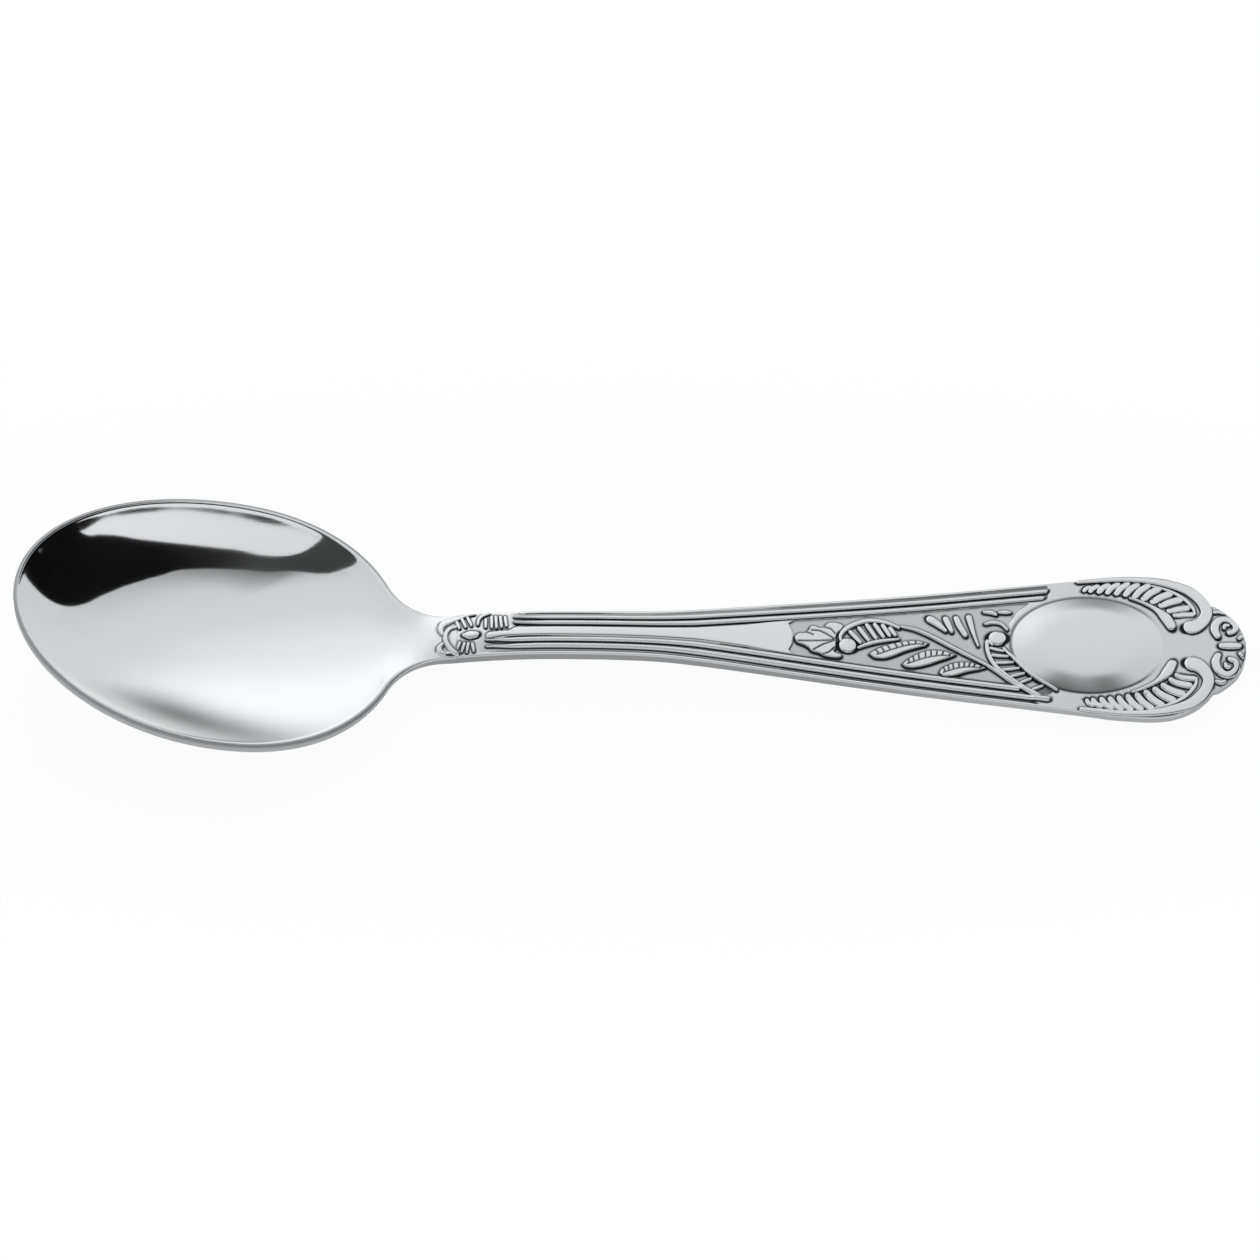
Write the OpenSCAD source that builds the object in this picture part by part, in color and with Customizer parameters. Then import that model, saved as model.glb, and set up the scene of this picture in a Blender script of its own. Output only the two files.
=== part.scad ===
// Teaspoon with a struck ornament on its handle.
// +X runs from the bowl's tip to the handle's end, +Z is up, and the spoon lies
// on the plane z = 0 with its bounding box centred over the origin.

/* [Spoon] */
// Length over all, from the bowl's tip to the handle's end
spoon_length = 140; // [132:1:150]

/* [Bowl] */
// From the bowl's tip to the low point of the neck
bowl_length = 45; // [42:0.5:48]
// Width of the bowl at its widest
bowl_width = 32.1; // [28:0.1:35]
// Depth of the hollow under the rim, at its lowest point
bowl_depth = 6.1; // [5:0.1:7.5]
// Metal under the lowest point of the hollow
bowl_wall = 1.1; // [0.8:0.05:1.4]
// Width of the flat on the rim
rim_width = 0.6; // [0.4:0.05:0.8]
// Thickness of the bowl's edge
rim_edge = 1; // [0.6:0.05:1.3]
// How far the tip stands above the rim beside the lowest point
tip_lift = 7.6; // [6.5:0.1:8.5]
// How far the neck lies below the rim beside the lowest point
neck_drop = 3.4; // [2.9:0.1:3.9]

/* [Handle] */
// Width of the stem at its narrowest
stem_width = 5.6; // [4.9:0.1:6.5]
// Thickness of the stem
stem_thickness = 2.3; // [2:0.1:2.6]
// Height of the stem's arch over the table
arch_height = 5.8; // [5:0.1:6.6]
// Length of the ornamented panel, up to the handle's end
panel_length = 60; // [54:0.5:64]
// Height of the handle's top where the panel flattens out
panel_height = 3; // [2.6:0.05:3.5]
// Width over the shoulders of the handle's end
end_width = 18.6; // [16.5:0.1:20.5]
// Thickness of the handle's end
end_thickness = 2; // [1.6:0.05:2.4]
// How much the middle of the handle stands above its edges
handle_crown = 0.5; // [0.3:0.05:0.6]

/* [Ornament] */
// Height of the relief over the handle
relief_height = 0.4; // [0.25:0.05:0.5]
// Width of one thread along the handle's edge
thread_width = 0.7; // [0.5:0.05:0.75]
// Width of the plain border outside the threads
thread_border = 0.6; // [0.4:0.05:0.7]
// Length of the oval boss, as a share of the panel's length
cartouche_length_share = 0.286; // [0.26:0.002:0.29]
// Width of the oval boss, as a share of the width over the shoulders
cartouche_width_share = 0.66; // [0.6:0.005:0.68]
// Height of the oval boss over the handle
cartouche_rise = 0.7; // [0.4:0.05:0.9]
// Flutes on each side between the boss and the shoulder
flute_count = 12; // [8:1:14]
// Rungs in the crossing scroll
rung_count = 7; // [4:1:9]

/* [Hidden] */

// Clearance under each struck ornament, and between ornaments that lie side by side
seat_gap = 0.03;

// Bowl outline: the widest place, and where the neck fillets leave the bowl
widest_share = 0.5186;
rear_share = 0.4565;
fillet_share = 0.914;
rear_power = 2.2;
section_power = 2.4;
bowl_half_width = bowl_width / 2;
bowl_front = widest_share * bowl_length;
bowl_rear = rear_share * bowl_length;
stem_half_width = stem_width / 2;
rear_join = pow(fillet_share, rear_power);

// Bowl profile: the lowest point, the line of the rim and the slope into the stem
lowest_share = 0.56;
neck_slope = 0.225;
lowest_x = lowest_share * bowl_length;
neck_z = bowl_wall + bowl_depth - neck_drop;

// Handle profile: crown of the arch, the place where the panel flattens, and its fall
arch_share = 0.17;
flat_share = 0.47;
panel_slope = -0.027;
panel_start = spoon_length - panel_length;
arch_x = bowl_length + arch_share * (spoon_length - bowl_length);
flat_x = panel_start + flat_share * panel_length;

// Handle outline: knee of the flare, start of the shoulder, and points round the end
knee_share = -0.111;
knee_soft_share = 0.063;
shoulder_share = 0.733;
knee_x = panel_start + knee_share * panel_length;
knee_soft = knee_soft_share * panel_length;
shoulder_x = panel_start + shoulder_share * panel_length;
end_half_width = end_width / 2;
// Each point is a share of the panel's length and a share of half the end's width
shoulder_shares = [[0.7, 0.94], [0.733, 0.972], [0.783, 0.995], [0.82, 1], [0.855, 0.972],
    [0.883, 0.905], [0.907, 0.81], [0.925, 0.7], [0.937, 0.6]];
tip_shares = [[0.937, 0.6], [0.95, 0.565], [0.967, 0.48], [0.982, 0.38], [0.993, 0.25],
    [1, 0.11]];

// Where one region of the spoon ends and the next begins
terminal_share = 0.5;
terminal_start = panel_start + terminal_share * panel_length;

// Numbers of stations and of points across
outline_steps = 9;
fillet_steps = 5;
across_steps = 8;
stem_steps = 14;
panel_steps = 10;
terminal_steps = 9;
curve_steps = 4;
thread_steps = 26;
ring_shares = [0.12, 0.3, 0.5, 0.68, 0.84, 0.94, 1];
under_shares = [1, 0.9, 0.75, 0.55, 0.32, 0.12];

// General functions

function mix(a, b, t) = a + (b - a) * t;
function ease(t) = let(u = min(1, max(0, t))) u * u * (3 - 2 * u);

// Cubic from height z0 with slope m0 to height z1 with slope m1, over a run
function hermite(t, run, z0, m0, z1, m1) =
    z0 * (2 * pow(t, 3) - 3 * t * t + 1) + run * m0 * (pow(t, 3) - 2 * t * t + t)
    + z1 * (3 * t * t - 2 * pow(t, 3)) + run * m1 * (pow(t, 3) - t * t);

// Smooth curve through hand-set points, at a share u of its way
function curve_point(points, u) = let(
        k = len(points) - 1,
        i = min(k - 1, floor(u * k)),
        t = u * k - i,
        a = points[max(0, i - 1)],
        b = points[i],
        c = points[i + 1],
        d = points[min(k, i + 2)])
    0.5 * (2 * b + (c - a) * t + (2 * a - 5 * b + 4 * c - d) * t * t
    + (d - a + 3 * (b - c)) * pow(t, 3));

// The same curve's second coordinate where its first one reaches x
function curve_height(points, x) = let(
        last = len(points) - 2,
        i = max([0, for (j = [0:last]) if (points[j][0] <= x) j]),
        t = (x - points[i][0]) / (points[i + 1][0] - points[i][0]))
    curve_point(points, (i + min(1, max(0, t))) / (last + 1))[1];

function mean(ring) = [for (p = ring) 1] * ring / len(ring);

// Closed skin over a row of rings with equal counts, with a fan at either end
function skin(rings) = let(
        n = len(rings),
        m = len(rings[0]),
        first = n * m,
        last = n * m + 1)
    [[for (ring = rings) each ring, mean(rings[0]), mean(rings[n - 1])],
    [for (i = [0:n - 2], j = [0:m - 1]) let(
            a = i * m + j,
            b = i * m + (j + 1) % m,
            c = b + m,
            d = a + m)
        each [[a, b, c], [a, c, d]],
    for (j = [0:m - 1]) [first, (j + 1) % m, j],
    for (j = [0:m - 1]) [last, (n - 1) * m + j, (n - 1) * m + (j + 1) % m]]];

// Several closed skins drawn as one piece
function offsets(skins, i = 0, total = 0) =
    i == len(skins) ? [] : [total, each offsets(skins, i + 1, total + len(skins[i][0]))];
module draw(skins) {
    starts = offsets(skins);
    points = [for (s = skins) each s[0]];
    faces = [for (i = [0:len(skins) - 1], f = skins[i][1]) f + [for (v = f) starts[i]]];
    translate([-spoon_length / 2, 0, 0])
        polyhedron(points = points, faces = faces, convexity = 4);
}

// Outline of the bowl, its neck fillets and the stem, drawn in by an inset

function rear_half(inset, u) = (bowl_half_width - inset) * sqrt(max(0, 1 - pow(u, rear_power)));
function join_half(inset) = rear_half(inset, fillet_share);
function join_angle(inset) = atan((bowl_half_width - inset) * rear_power
    * pow(fillet_share, rear_power - 1)
    / (2 * (bowl_rear - inset) * sqrt(1 - rear_join)));
function fillet_radius(inset) =
    (join_half(inset) - stem_half_width + inset) / (1 - cos(join_angle(inset)));
function join_x(inset) = bowl_front + fillet_share * (bowl_rear - inset);
function fillet_end(inset) = join_x(inset) + fillet_radius(inset) * sin(join_angle(inset));
bowl_end = fillet_end(0) + 2 * rim_width;

function bowl_half(x, inset) =
    x < bowl_front
        ? (bowl_half_width - inset)
            * sqrt(max(0, 1 - pow((bowl_front - x) / (bowl_front - inset), 2)))
    : x < join_x(inset) ? rear_half(inset, (x - bowl_front) / (bowl_rear - inset))
    : x < fillet_end(inset) ? stem_half_width - inset + fillet_radius(inset)
            - sqrt(pow(fillet_radius(inset), 2) - pow(fillet_end(inset) - x, 2))
    : stem_half_width - inset;

// Half outline from the tip to the neck, as points in plan
function half_outline(inset) = let(
        join = asin(sqrt(rear_join)),
        end_x = bowl_end - inset,
        half = stem_half_width - inset)
    [for (i = [0:outline_steps]) let(a = 90 * i / outline_steps)
        [bowl_front - (bowl_front - inset) * cos(a), (bowl_half_width - inset) * sin(a)],
    for (i = [1:outline_steps]) let(u = pow(sin(join * i / outline_steps), 2 / rear_power))
        [bowl_front + (bowl_rear - inset) * u, rear_half(inset, u)],
    for (i = [1:fillet_steps]) let(a = join_angle(inset) * (1 - i / fillet_steps))
        [fillet_end(inset) - fillet_radius(inset) * sin(a),
        half + fillet_radius(inset) * (1 - cos(a))],
    for (i = [0:across_steps / 2]) [end_x, half * (1 - 2 * i / across_steps)]];

// Whole outline, anticlockwise seen from above
function outline(inset) = let(half = half_outline(inset), n = len(half))
    [for (i = [n - 1:-1:0]) half[i],
    for (i = [1:n - 2]) [half[i][0], -half[i][1]]];

// Outline of the whole spoon

flare_slope = (shoulder_shares[0][1] * end_half_width - stem_half_width)
    / (panel_start + shoulder_shares[0][0] * panel_length - knee_x);
function flare_half(x) = stem_half_width
    + flare_slope * ((x - knee_x) + sqrt(pow(x - knee_x, 2) + pow(knee_soft, 2))) / 2;
function end_half(shares, x) =
    end_half_width * curve_height(shares, (x - panel_start) / panel_length);
cusp_x = panel_start + tip_shares[0][0] * panel_length;
function handle_half(x) = let(
        start_x = panel_start + shoulder_shares[0][0] * panel_length,
        blend = (x - start_x) / (shoulder_x - start_x))
    x < start_x ? flare_half(x)
    : x < shoulder_x ? mix(flare_half(x), end_half(shoulder_shares, x), ease(blend))
    : x < cusp_x ? end_half(shoulder_shares, x)
    : end_half(tip_shares, x);
function half(x) = x < bowl_end ? bowl_half(x, 0)
    : handle_half(x) - (handle_half(bowl_end) - stem_half_width)
        * (1 - ease((x - bowl_end) / (arch_x - bowl_end)));

// Profile along the middle of the spoon

function rim_z(x) = let(
        front = lowest_x,
        back = bowl_length - lowest_x,
        bend = (tip_lift / front - neck_drop / back) / (front + back),
        slope = neck_drop / back + bend * back)
    bowl_wall + bowl_depth + slope * (lowest_x - x) + bend * pow(lowest_x - x, 2);

// Keel of the hollow or of the underside. Its slope at the neck never lets it dip under
// the lowest point, and its slope at the tip is the one that gives both sides of the
// lowest point the same curvature
function keel_z(x, tip_x, tip_z, low_z, rear_z) = let(
        front = lowest_x - tip_x,
        back = bowl_length - lowest_x,
        rear_slope = min(neck_slope, 3 * (rear_z - low_z) / back),
        bend = (6 * (rear_z - low_z) - 2 * back * rear_slope) / pow(back, 2),
        tip_slope = (bend * pow(front, 2) - 6 * (tip_z - low_z)) / (2 * front))
    x < lowest_x ? hermite((x - tip_x) / front, front, tip_z, tip_slope, low_z, 0)
    : hermite((x - lowest_x) / back, back, low_z, 0, rear_z, rear_slope);

function handle_z(x) =
    x < arch_x ? hermite((x - bowl_length) / (arch_x - bowl_length), arch_x - bowl_length,
        neck_z, neck_slope, arch_height, 0)
    : x < flat_x ? hermite((x - arch_x) / (flat_x - arch_x), flat_x - arch_x,
        arch_height, 0, panel_height, panel_slope)
    : hermite((x - flat_x) / (spoon_length - flat_x), spoon_length - flat_x,
        panel_height, panel_slope, end_thickness, panel_slope);

function thickness(x) = mix(stem_thickness, end_thickness, ease((x - arch_x) / (flat_x - arch_x)));

function middle_z(x) = x < bowl_length
    ? keel_z(max(x, rim_width), rim_width, rim_z(rim_width), bowl_wall, neck_z) : handle_z(x);
function under_z(x) = x < bowl_length
    ? keel_z(x, 0, rim_z(0) - rim_edge, 0, neck_z - stem_thickness)
    : handle_z(x) - thickness(x);

// How far the rim stands over the middle. It fades out smoothly at the neck
function hollow(x) = let(rise = rim_z(x) - middle_z(x))
    x < lowest_x ? max(0, rise)
    : x > bowl_end ? 0
    : (rise + sqrt(pow(rise, 2) + pow(rim_edge / 2, 2))) / 2
        * (1 - ease((x - bowl_length) / (bowl_end - bowl_length)));
function crown(x) = handle_crown * ease((x - bowl_length + rim_width) / (bowl_end - bowl_length));
function edge_z(x) = x < rim_width ? rim_z(x) : middle_z(x) + hollow(x) - crown(x);

// Height of the spoon's vertical side, from the bowl's thin edge to the stem
side_share = 0.65;
function side(x) = mix(rim_edge, side_share * thickness(x),
    ease((x - join_x(0)) / (bowl_end - join_x(0))));

// Reference half width for the top: the hollow's inside, then the stem's outside
function top_half(x) =
    x >= bowl_end ? half(x)
    : mix(bowl_half(x, rim_width), half(x), ease((x - join_x(0)) / (bowl_end - join_x(0))));

// Height of the spoon's top and underside over any point in plan
function top_z(x, y) = let(share = min(1, abs(y) / max(top_half(x), seat_gap)))
    mix(middle_z(x), edge_z(x), pow(share, section_power));
function bottom_z(x, y) = let(share = min(1, abs(y) / max(half(x), seat_gap)))
    mix(under_z(x), edge_z(x) - side(x), pow(share, section_power));

// The spoon's own regions

// Rings of the bowl: the hollow from its middle out, the rim, then the underside
function bowl_rings() = let(
        inner = outline(rim_width),
        outer = outline(0),
        middle = [bowl_front, 0])
    [for (share = ring_shares) [for (p = inner) let(q = mix(middle, p, share))
        [q[0], q[1], top_z(q[0], q[1])]],
    [for (p = outer) [p[0], p[1], p[0] == bowl_end ? top_z(p[0], p[1]) : edge_z(p[0])]],
    [for (p = outer) [p[0], p[1], p[0] == 0 ? rim_z(0) - rim_edge : bottom_z(p[0], p[1])]],
    for (i = [1:len(under_shares) - 1]) [for (p = outer)
        let(q = mix(middle, p, under_shares[i]))
        [q[0], q[1], bottom_z(q[0], q[1])]]];

// One cross-section of the handle
function section(x) = let(w = half(x), k = across_steps)
    [for (i = [0:k]) let(y = w * (2 * i / k - 1)) [x, y, top_z(x, y)],
    for (i = [k:-1:0]) let(y = w * (2 * i / k - 1)) [x, y, bottom_z(x, y)]];
function loft(stations) = skin([for (x = stations) section(x)]);
function stations(from, to, steps) = [for (i = [0:steps]) mix(from, to, i / steps)];

module steel() {
    color("#c9ccd1") children();
}

module bowl() {
    steel() draw([skin(bowl_rings())]);
}

module stem() {
    steel() draw([loft(stations(bowl_end, panel_start, stem_steps))]);
}

module panel() {
    steel() draw([loft(stations(panel_start, terminal_start, panel_steps))]);
}

module terminal() {
    shoulder = [for (i = [1:len(shoulder_shares) - 1], j = [0:1])
        mix(shoulder_shares[i - 1][0], shoulder_shares[i][0], (j + 1) / 2)];
    tip = [for (i = [1:len(tip_shares) - 1], j = [0:1])
        mix(tip_shares[i - 1][0], tip_shares[i][0], (j + 1) / 2)];
    start_x = panel_start + shoulder_shares[0][0] * panel_length;
    steel() draw([loft([
        each stations(terminal_start, start_x, terminal_steps),
        for (share = [each shoulder, each tip]) panel_start + share * panel_length])]);
}

// Ornament: ridges that follow a line, and domes, seated on the spoon's top

// Cross-section of a ridge: shares of its half width and of its height
ridge_shares = [[-1, 0], [-0.65, 0.75], [0, 1], [0.65, 0.75], [1, 0]];

function seat_z(x, y) = top_z(x, y) + seat_gap;

// Unit normal of a path at point i, to the left of its way
function normal(path, i) = let(
        a = path[max(0, i - 1)],
        b = path[min(len(path) - 1, i + 1)],
        d = [b[0] - a[0], b[1] - a[1]])
    [-d[1], d[0]] / norm(d);

// A ridge along points [x, y, half width]
function ridge(path, height) = skin([for (i = [0:len(path) - 1]) let(
        p = path[i],
        n = normal(path, i))
    [for (r = ridge_shares) let(
            x = p[0] + r[0] * p[2] * n[0],
            y = p[1] + r[0] * p[2] * n[1])
        [x, y, seat_z(x, y) + r[1] * height]]]);

// A dome on an oval, with shares of its size and of its height
dome_shares = [[1, 0], [0.93, 0.6], [0.6, 0.9], [0.25, 1]];
dome_base_shares = [0.3, 0.65, 1];
function oval(centre, rx, ry, sides, share, height) = [for (i = [0:sides - 1]) let(
        a = 360 * i / sides,
        x = centre[0] + rx * share * cos(a),
        y = centre[1] + ry * share * sin(a))
    [x, y, seat_z(x, y) + height]];
function dome(centre, rx, ry, height, sides) = skin([
    for (i = [len(dome_shares) - 1:-1:0])
        oval(centre, rx, ry, sides, dome_shares[i][0], dome_shares[i][1] * height),
    for (i = [len(dome_base_shares) - 2:-1:0])
        oval(centre, rx, ry, sides, dome_base_shares[i], 0)]);

// A hand-set point is a share of the panel's length, a share of the local half width
// and, for a ridge, its half width as a share of one thread's width
function on_panel(p) = let(x = panel_start + p[0] * panel_length)
    [x, p[1] * half(x), (p[2] == undef ? 1 : p[2]) * thread_width];
function line(shares, steps) = let(points = [for (p = shares) on_panel(p)])
    [for (i = [0:steps]) curve_point(points, i / steps)];
function mirrored(path) = [for (i = [len(path) - 1:-1:0]) [path[i][0], -path[i][1], path[i][2]]];
function pair(path, height) = [ridge(path, height), ridge(mirrored(path), height)];
function smooth(shares) = line(shares, curve_steps * (len(shares) - 1) / 2);

// Edge threads: ridges that keep their distance from the outline, and that stand closer
// together where the stem is slim
thread_start_share = 0.075;
thread_end_shares = [0.62, 0.555];
thread_pitch_share = 1.3;
slim_pitch_share = 0.27;
thread_half_share = 0.42;
thread_from = bowl_end + thread_start_share * (spoon_length - bowl_end);
function thread_pitch(x) = min(thread_pitch_share * thread_width, slim_pitch_share * half(x));
function thread(place) = let(to = panel_start + thread_end_shares[place] * panel_length)
    [for (x = stations(thread_from, to, thread_steps))
        [x, half(x) - thread_border - (place + 0.5) * thread_pitch(x),
        thread_half_share * thread_pitch(x)]];

module outer_threads() {
    steel() draw(pair(thread(0), relief_height));
}

module inner_threads() {
    steel() draw(pair(thread(1), relief_height));
}

// Shell at the neck. Its points are shares of the neck's length and of half the stem
neck_length = thread_from - fillet_end(0) + rim_width;
function on_neck(p) = let(x = thread_from - neck_length * (1 - p[0]))
    [x, p[1] * stem_half_width, (p[2] == undef ? 1 : p[2]) * thread_width];
function neck_line(shares) = let(points = [for (p = shares) on_neck(p)], n = len(shares) - 1)
    [for (i = [0:2 * n]) curve_point(points, i / (2 * n))];
far_lobe_shares = [[-0.02, 0.2, 0.25], [-0.1, 0.479, 0.4], [-0.018, 0.7, 0.4],
    [0.11, 0.84, 0.25]];
near_lobe_shares = [[-0.005, -0.269, 0.25], [-0.07, -0.507, 0.45], [0.003, -0.814, 0.4]];
arc_shares = [[0.125, 0.66, 0.2], [0.055, 0.4, 0.35], [0.032, -0.002, 0.4],
    [0.09, -0.442, 0.45], [0.18, -0.81, 0.3]];
tongue_shares = [[0.503, -0.093, 0.35], [0.664, -0.113, 0.55], [0.835, -0.112, 0.5],
    [0.983, -0.126, 0.3]];
knot_shares = [[0.822, 0.254, 0.3], [0.915, 0.163, 0.45], [0.992, 0.256, 0.3]];
boss_share = [0.348, -0.048];
boss_size_shares = [0.09, 0.2];
far_flutes_shares = [[0.16, 0.681, 0.202, 0.401], [0.236, 0.837, 0.282, 0.43],
    [0.327, 0.862, 0.362, 0.438], [0.493, 0.665, 0.48, 0.297], [0.581, 0.795, 0.56, 0.326],
    [0.672, 0.801, 0.651, 0.334], [0.763, 0.787, 0.741, 0.383]];
near_flutes_shares = [[0.163, -0.435, 0.194, -0.275], [0.224, -0.712, 0.265, -0.387],
    [0.316, -0.764, 0.347, -0.438], [0.42, -0.755, 0.428, -0.469],
    [0.523, -0.705, 0.496, -0.457]];

module neck_shell() {
    steel() draw([for (shares = [far_lobe_shares, near_lobe_shares, arc_shares,
        tongue_shares, knot_shares]) ridge(neck_line(shares), relief_height)]);
}

module neck_flutes() {
    steel() draw([for (f = [each far_flutes_shares, each near_flutes_shares])
        ridge([on_neck([f[0], f[1], 0.3]), on_neck([f[2], f[3], 0.25])], relief_height)]);
}

module neck_boss() {
    steel() draw([dome(on_neck(boss_share), boss_size_shares[0] * neck_length,
        boss_size_shares[1] * stem_half_width, relief_height, 8)]);
}

// Palmette leaf at the start of the ground
leaf_lobes_shares = [
    [[0.228, -0.016, 0.5], [0.178, 0.008, 0.9], [0.143, 0.022, 0.35]],
    [[0.222, 0.151, 0.25], [0.201, 0.27, 0.5], [0.176, 0.322, 0.3]],
    [[0.231, 0.238, 0.25], [0.223, 0.396, 0.5], [0.236, 0.493, 0.3]],
    [[0.219, -0.152, 0.25], [0.194, -0.257, 0.45], [0.17, -0.274, 0.25]],
    [[0.234, -0.212, 0.25], [0.22, -0.366, 0.5], [0.205, -0.424, 0.3]]];

module leaf_tip() {
    steel() draw([for (lobe = leaf_lobes_shares) ridge(smooth(lobe), relief_height)]);
}

// Ribbon that curls up from the leaf: a volute, two edges and the fingers between them
ribbon_eye_share = [0.24, -0.076];
ribbon_top_shares = [[0.229, 0.14, 0.25], [0.25, 0.354, 0.35], [0.284, 0.41, 0.4],
    [0.318, 0.428, 0.3], [0.343, 0.387, 0.25]];
ribbon_low_shares = [[0.263, -0.136, 0.25], [0.287, -0.031, 0.35], [0.311, 0.046, 0.3],
    [0.338, 0.073, 0.25]];
ribbon_fingers = 6;

module ribbon_scroll() {
    top = line(ribbon_top_shares, ribbon_fingers + 2);
    low = line(ribbon_low_shares, ribbon_fingers + 2);
    eye = on_panel(ribbon_eye_share);
    fingers = [for (i = [1:ribbon_fingers])
        ridge([mix(top[i], low[i], 0.3), mix(top[i], low[i], 0.72)], relief_height)];
    steel() draw([
        dome(eye, thread_width, 1.2 * thread_width, relief_height, 10),
        ridge(top, relief_height), ridge(low, relief_height), each fingers]);
}

// Rib that runs down across the panel, and the fern leaves that spring from it
fern_rib_shares = [[0.369, 0.307, 0.25], [0.415, 0.128, 0.35], [0.462, -0.12, 0.4],
    [0.506, -0.357, 0.35], [0.55, -0.573, 0.3], [0.597, -0.77, 0.25]];
fern_leaf_shares = [
    [[0.281, -0.304, 0.35], [0.309, -0.257, 0.9], [0.338, -0.142, 0.9], [0.367, -0.046, 0.6],
        [0.391, 0.001, 0.25]],
    [[0.348, -0.446, 0.35], [0.374, -0.389, 0.8], [0.4, -0.293, 0.85], [0.426, -0.226, 0.6],
        [0.447, -0.208, 0.25]],
    [[0.416, -0.598, 0.35], [0.435, -0.535, 0.75], [0.459, -0.453, 0.75], [0.479, -0.444, 0.5],
        [0.496, -0.455, 0.25]]];

module fern_rib() {
    steel() draw([ridge(line(fern_rib_shares, 12), relief_height)]);
}

module fern_leaves() {
    steel() draw([for (leaf = fern_leaf_shares) ridge(line(leaf, 8), relief_height)]);
}

// Four bars that stand on the far side of the rib
bar_shares = [
    [[0.396, 0.512, 0.45], [0.41, 0.383, 0.5], [0.424, 0.265, 0.35]],
    [[0.431, 0.51, 0.45], [0.437, 0.372, 0.5], [0.443, 0.244, 0.35]],
    [[0.456, 0.499, 0.45], [0.462, 0.322, 0.5], [0.471, 0.145, 0.35]],
    [[0.486, 0.489, 0.3], [0.486, 0.242, 0.35], [0.495, -0.004, 0.3], [0.51, -0.2, 0.25]]];

module bars() {
    steel() draw([for (bar = bar_shares) ridge(smooth(bar), relief_height)]);
}

// Small bow at the boss's far shoulder
bow_shares = [
    [[0.502, 0.547, 0.3], [0.511, 0.596, 0.5], [0.523, 0.547, 0.3]],
    [[0.53, 0.546, 0.3], [0.54, 0.585, 0.45], [0.552, 0.555, 0.3]],
    [[0.504, 0.36, 0.25], [0.517, 0.409, 0.35], [0.532, 0.359, 0.25]]];

module bow() {
    steel() draw([for (loop = bow_shares) ridge(smooth(loop), relief_height)]);
}

// Scroll that crosses the panel beside the boss: a volute, two rails and their rungs
crossing_eye_share = [0.527, 0.123];
crossing_left_shares = [[0.513, 0.015, 0.25], [0.519, -0.2, 0.35], [0.539, -0.397, 0.4],
    [0.565, -0.564, 0.35], [0.601, -0.712, 0.25]];
crossing_right_shares = [[0.543, -0.064, 0.25], [0.559, -0.225, 0.3], [0.579, -0.415, 0.3],
    [0.602, -0.583, 0.3], [0.633, -0.705, 0.25]];

module crossing_scroll() {
    steel() draw([
        dome(on_panel(crossing_eye_share), 1.2 * thread_width, 1.2 * thread_width,
            relief_height, 12),
        ridge(line(crossing_left_shares, 8), relief_height),
        ridge(line(crossing_right_shares, 8), relief_height)]);
}

// A rung stops short of either rail by its own half width
rung_half = 0.2 * thread_width;
function rung_end(a, b) = let(
        reach = min(0.45, (a[2] + 3 * rung_half) / norm([b[0] - a[0], b[1] - a[1]])))
    [mix(a[0], b[0], reach), mix(a[1], b[1], reach), rung_half];

module crossing_rungs() {
    left = line(crossing_left_shares, rung_count + 1);
    right = line(crossing_right_shares, rung_count + 1);
    steel() draw([for (i = [1:rung_count])
        ridge([rung_end(left[i], right[i]), rung_end(right[i], left[i])], relief_height)]);
}

// Plain oval boss near the handle's end
cartouche_share = 0.705;

module cartouche() {
    steel() draw([dome([panel_start + cartouche_share * panel_length, 0],
        cartouche_length_share * panel_length / 2, cartouche_width_share * end_half_width,
        cartouche_rise, 32)]);
}

// Pair of scrolls round the shoulders, with flutes between them and the boss
scroll_arm_shares = [[0.683, 0.914, 0.3], [0.762, 0.929, 0.5], [0.831, 0.922, 0.75],
    [0.88, 0.874, 0.85], [0.911, 0.725, 0.75], [0.92, 0.57, 0.6], [0.917, 0.47, 0.35]];
scroll_eye_share = [0.901, 0.349];
flute_inner_shares = [[0.693, 0.777], [0.726, 0.774], [0.762, 0.765], [0.801, 0.729],
    [0.841, 0.629], [0.869, 0.409]];
flute_outer_shares = [[0.703, 0.855], [0.741, 0.865], [0.781, 0.862], [0.826, 0.835],
    [0.868, 0.765], [0.894, 0.494]];

module shoulder_scrolls() {
    arm = line(scroll_arm_shares, 14);
    eye = on_panel(scroll_eye_share);
    size = 1.1 * thread_width;
    steel() draw([each pair(arm, relief_height),
        dome(eye, size, size, relief_height, 12),
        dome([eye[0], -eye[1]], size, size, relief_height, 12)]);
}

module shoulder_flutes() {
    inner = line(flute_inner_shares, flute_count - 1);
    outer = line(flute_outer_shares, flute_count - 1);
    steel() draw([for (i = [0:flute_count - 1]) each pair([
        [inner[i][0], inner[i][1], 0.3 * thread_width],
        [outer[i][0], outer[i][1], mix(0.36, 0.44, i / flute_count) * thread_width]],
        relief_height)]);
}

// Pair of leaf buds that close the boss's border
bud_shares = [[0.782, 0.598, 0.25], [0.822, 0.518, 0.5], [0.846, 0.379, 0.8], [0.861, 0.24, 0.5]];

module leaf_buds() {
    steel() draw(pair(line(bud_shares, 6), relief_height));
}

// Shell at the very end: a middle lobe, two pairs of lobes and a pair of volutes
middle_lobe_shares = [[0.945, 0, 0.5], [0.969, 0, 0.8], [0.991, 0, 0.85]];
side_lobe_shares = [[0.95, 0.204, 0.4], [0.967, 0.369, 0.65], [0.983, 0.673, 0.7]];
volute_shares = [[0.945, 0.268, 0.6], [0.938, 0.4, 0.7], [0.942, 0.643, 0.75],
    [0.956, 0.831, 0.75], [0.969, 0.886, 0.6]];

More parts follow.
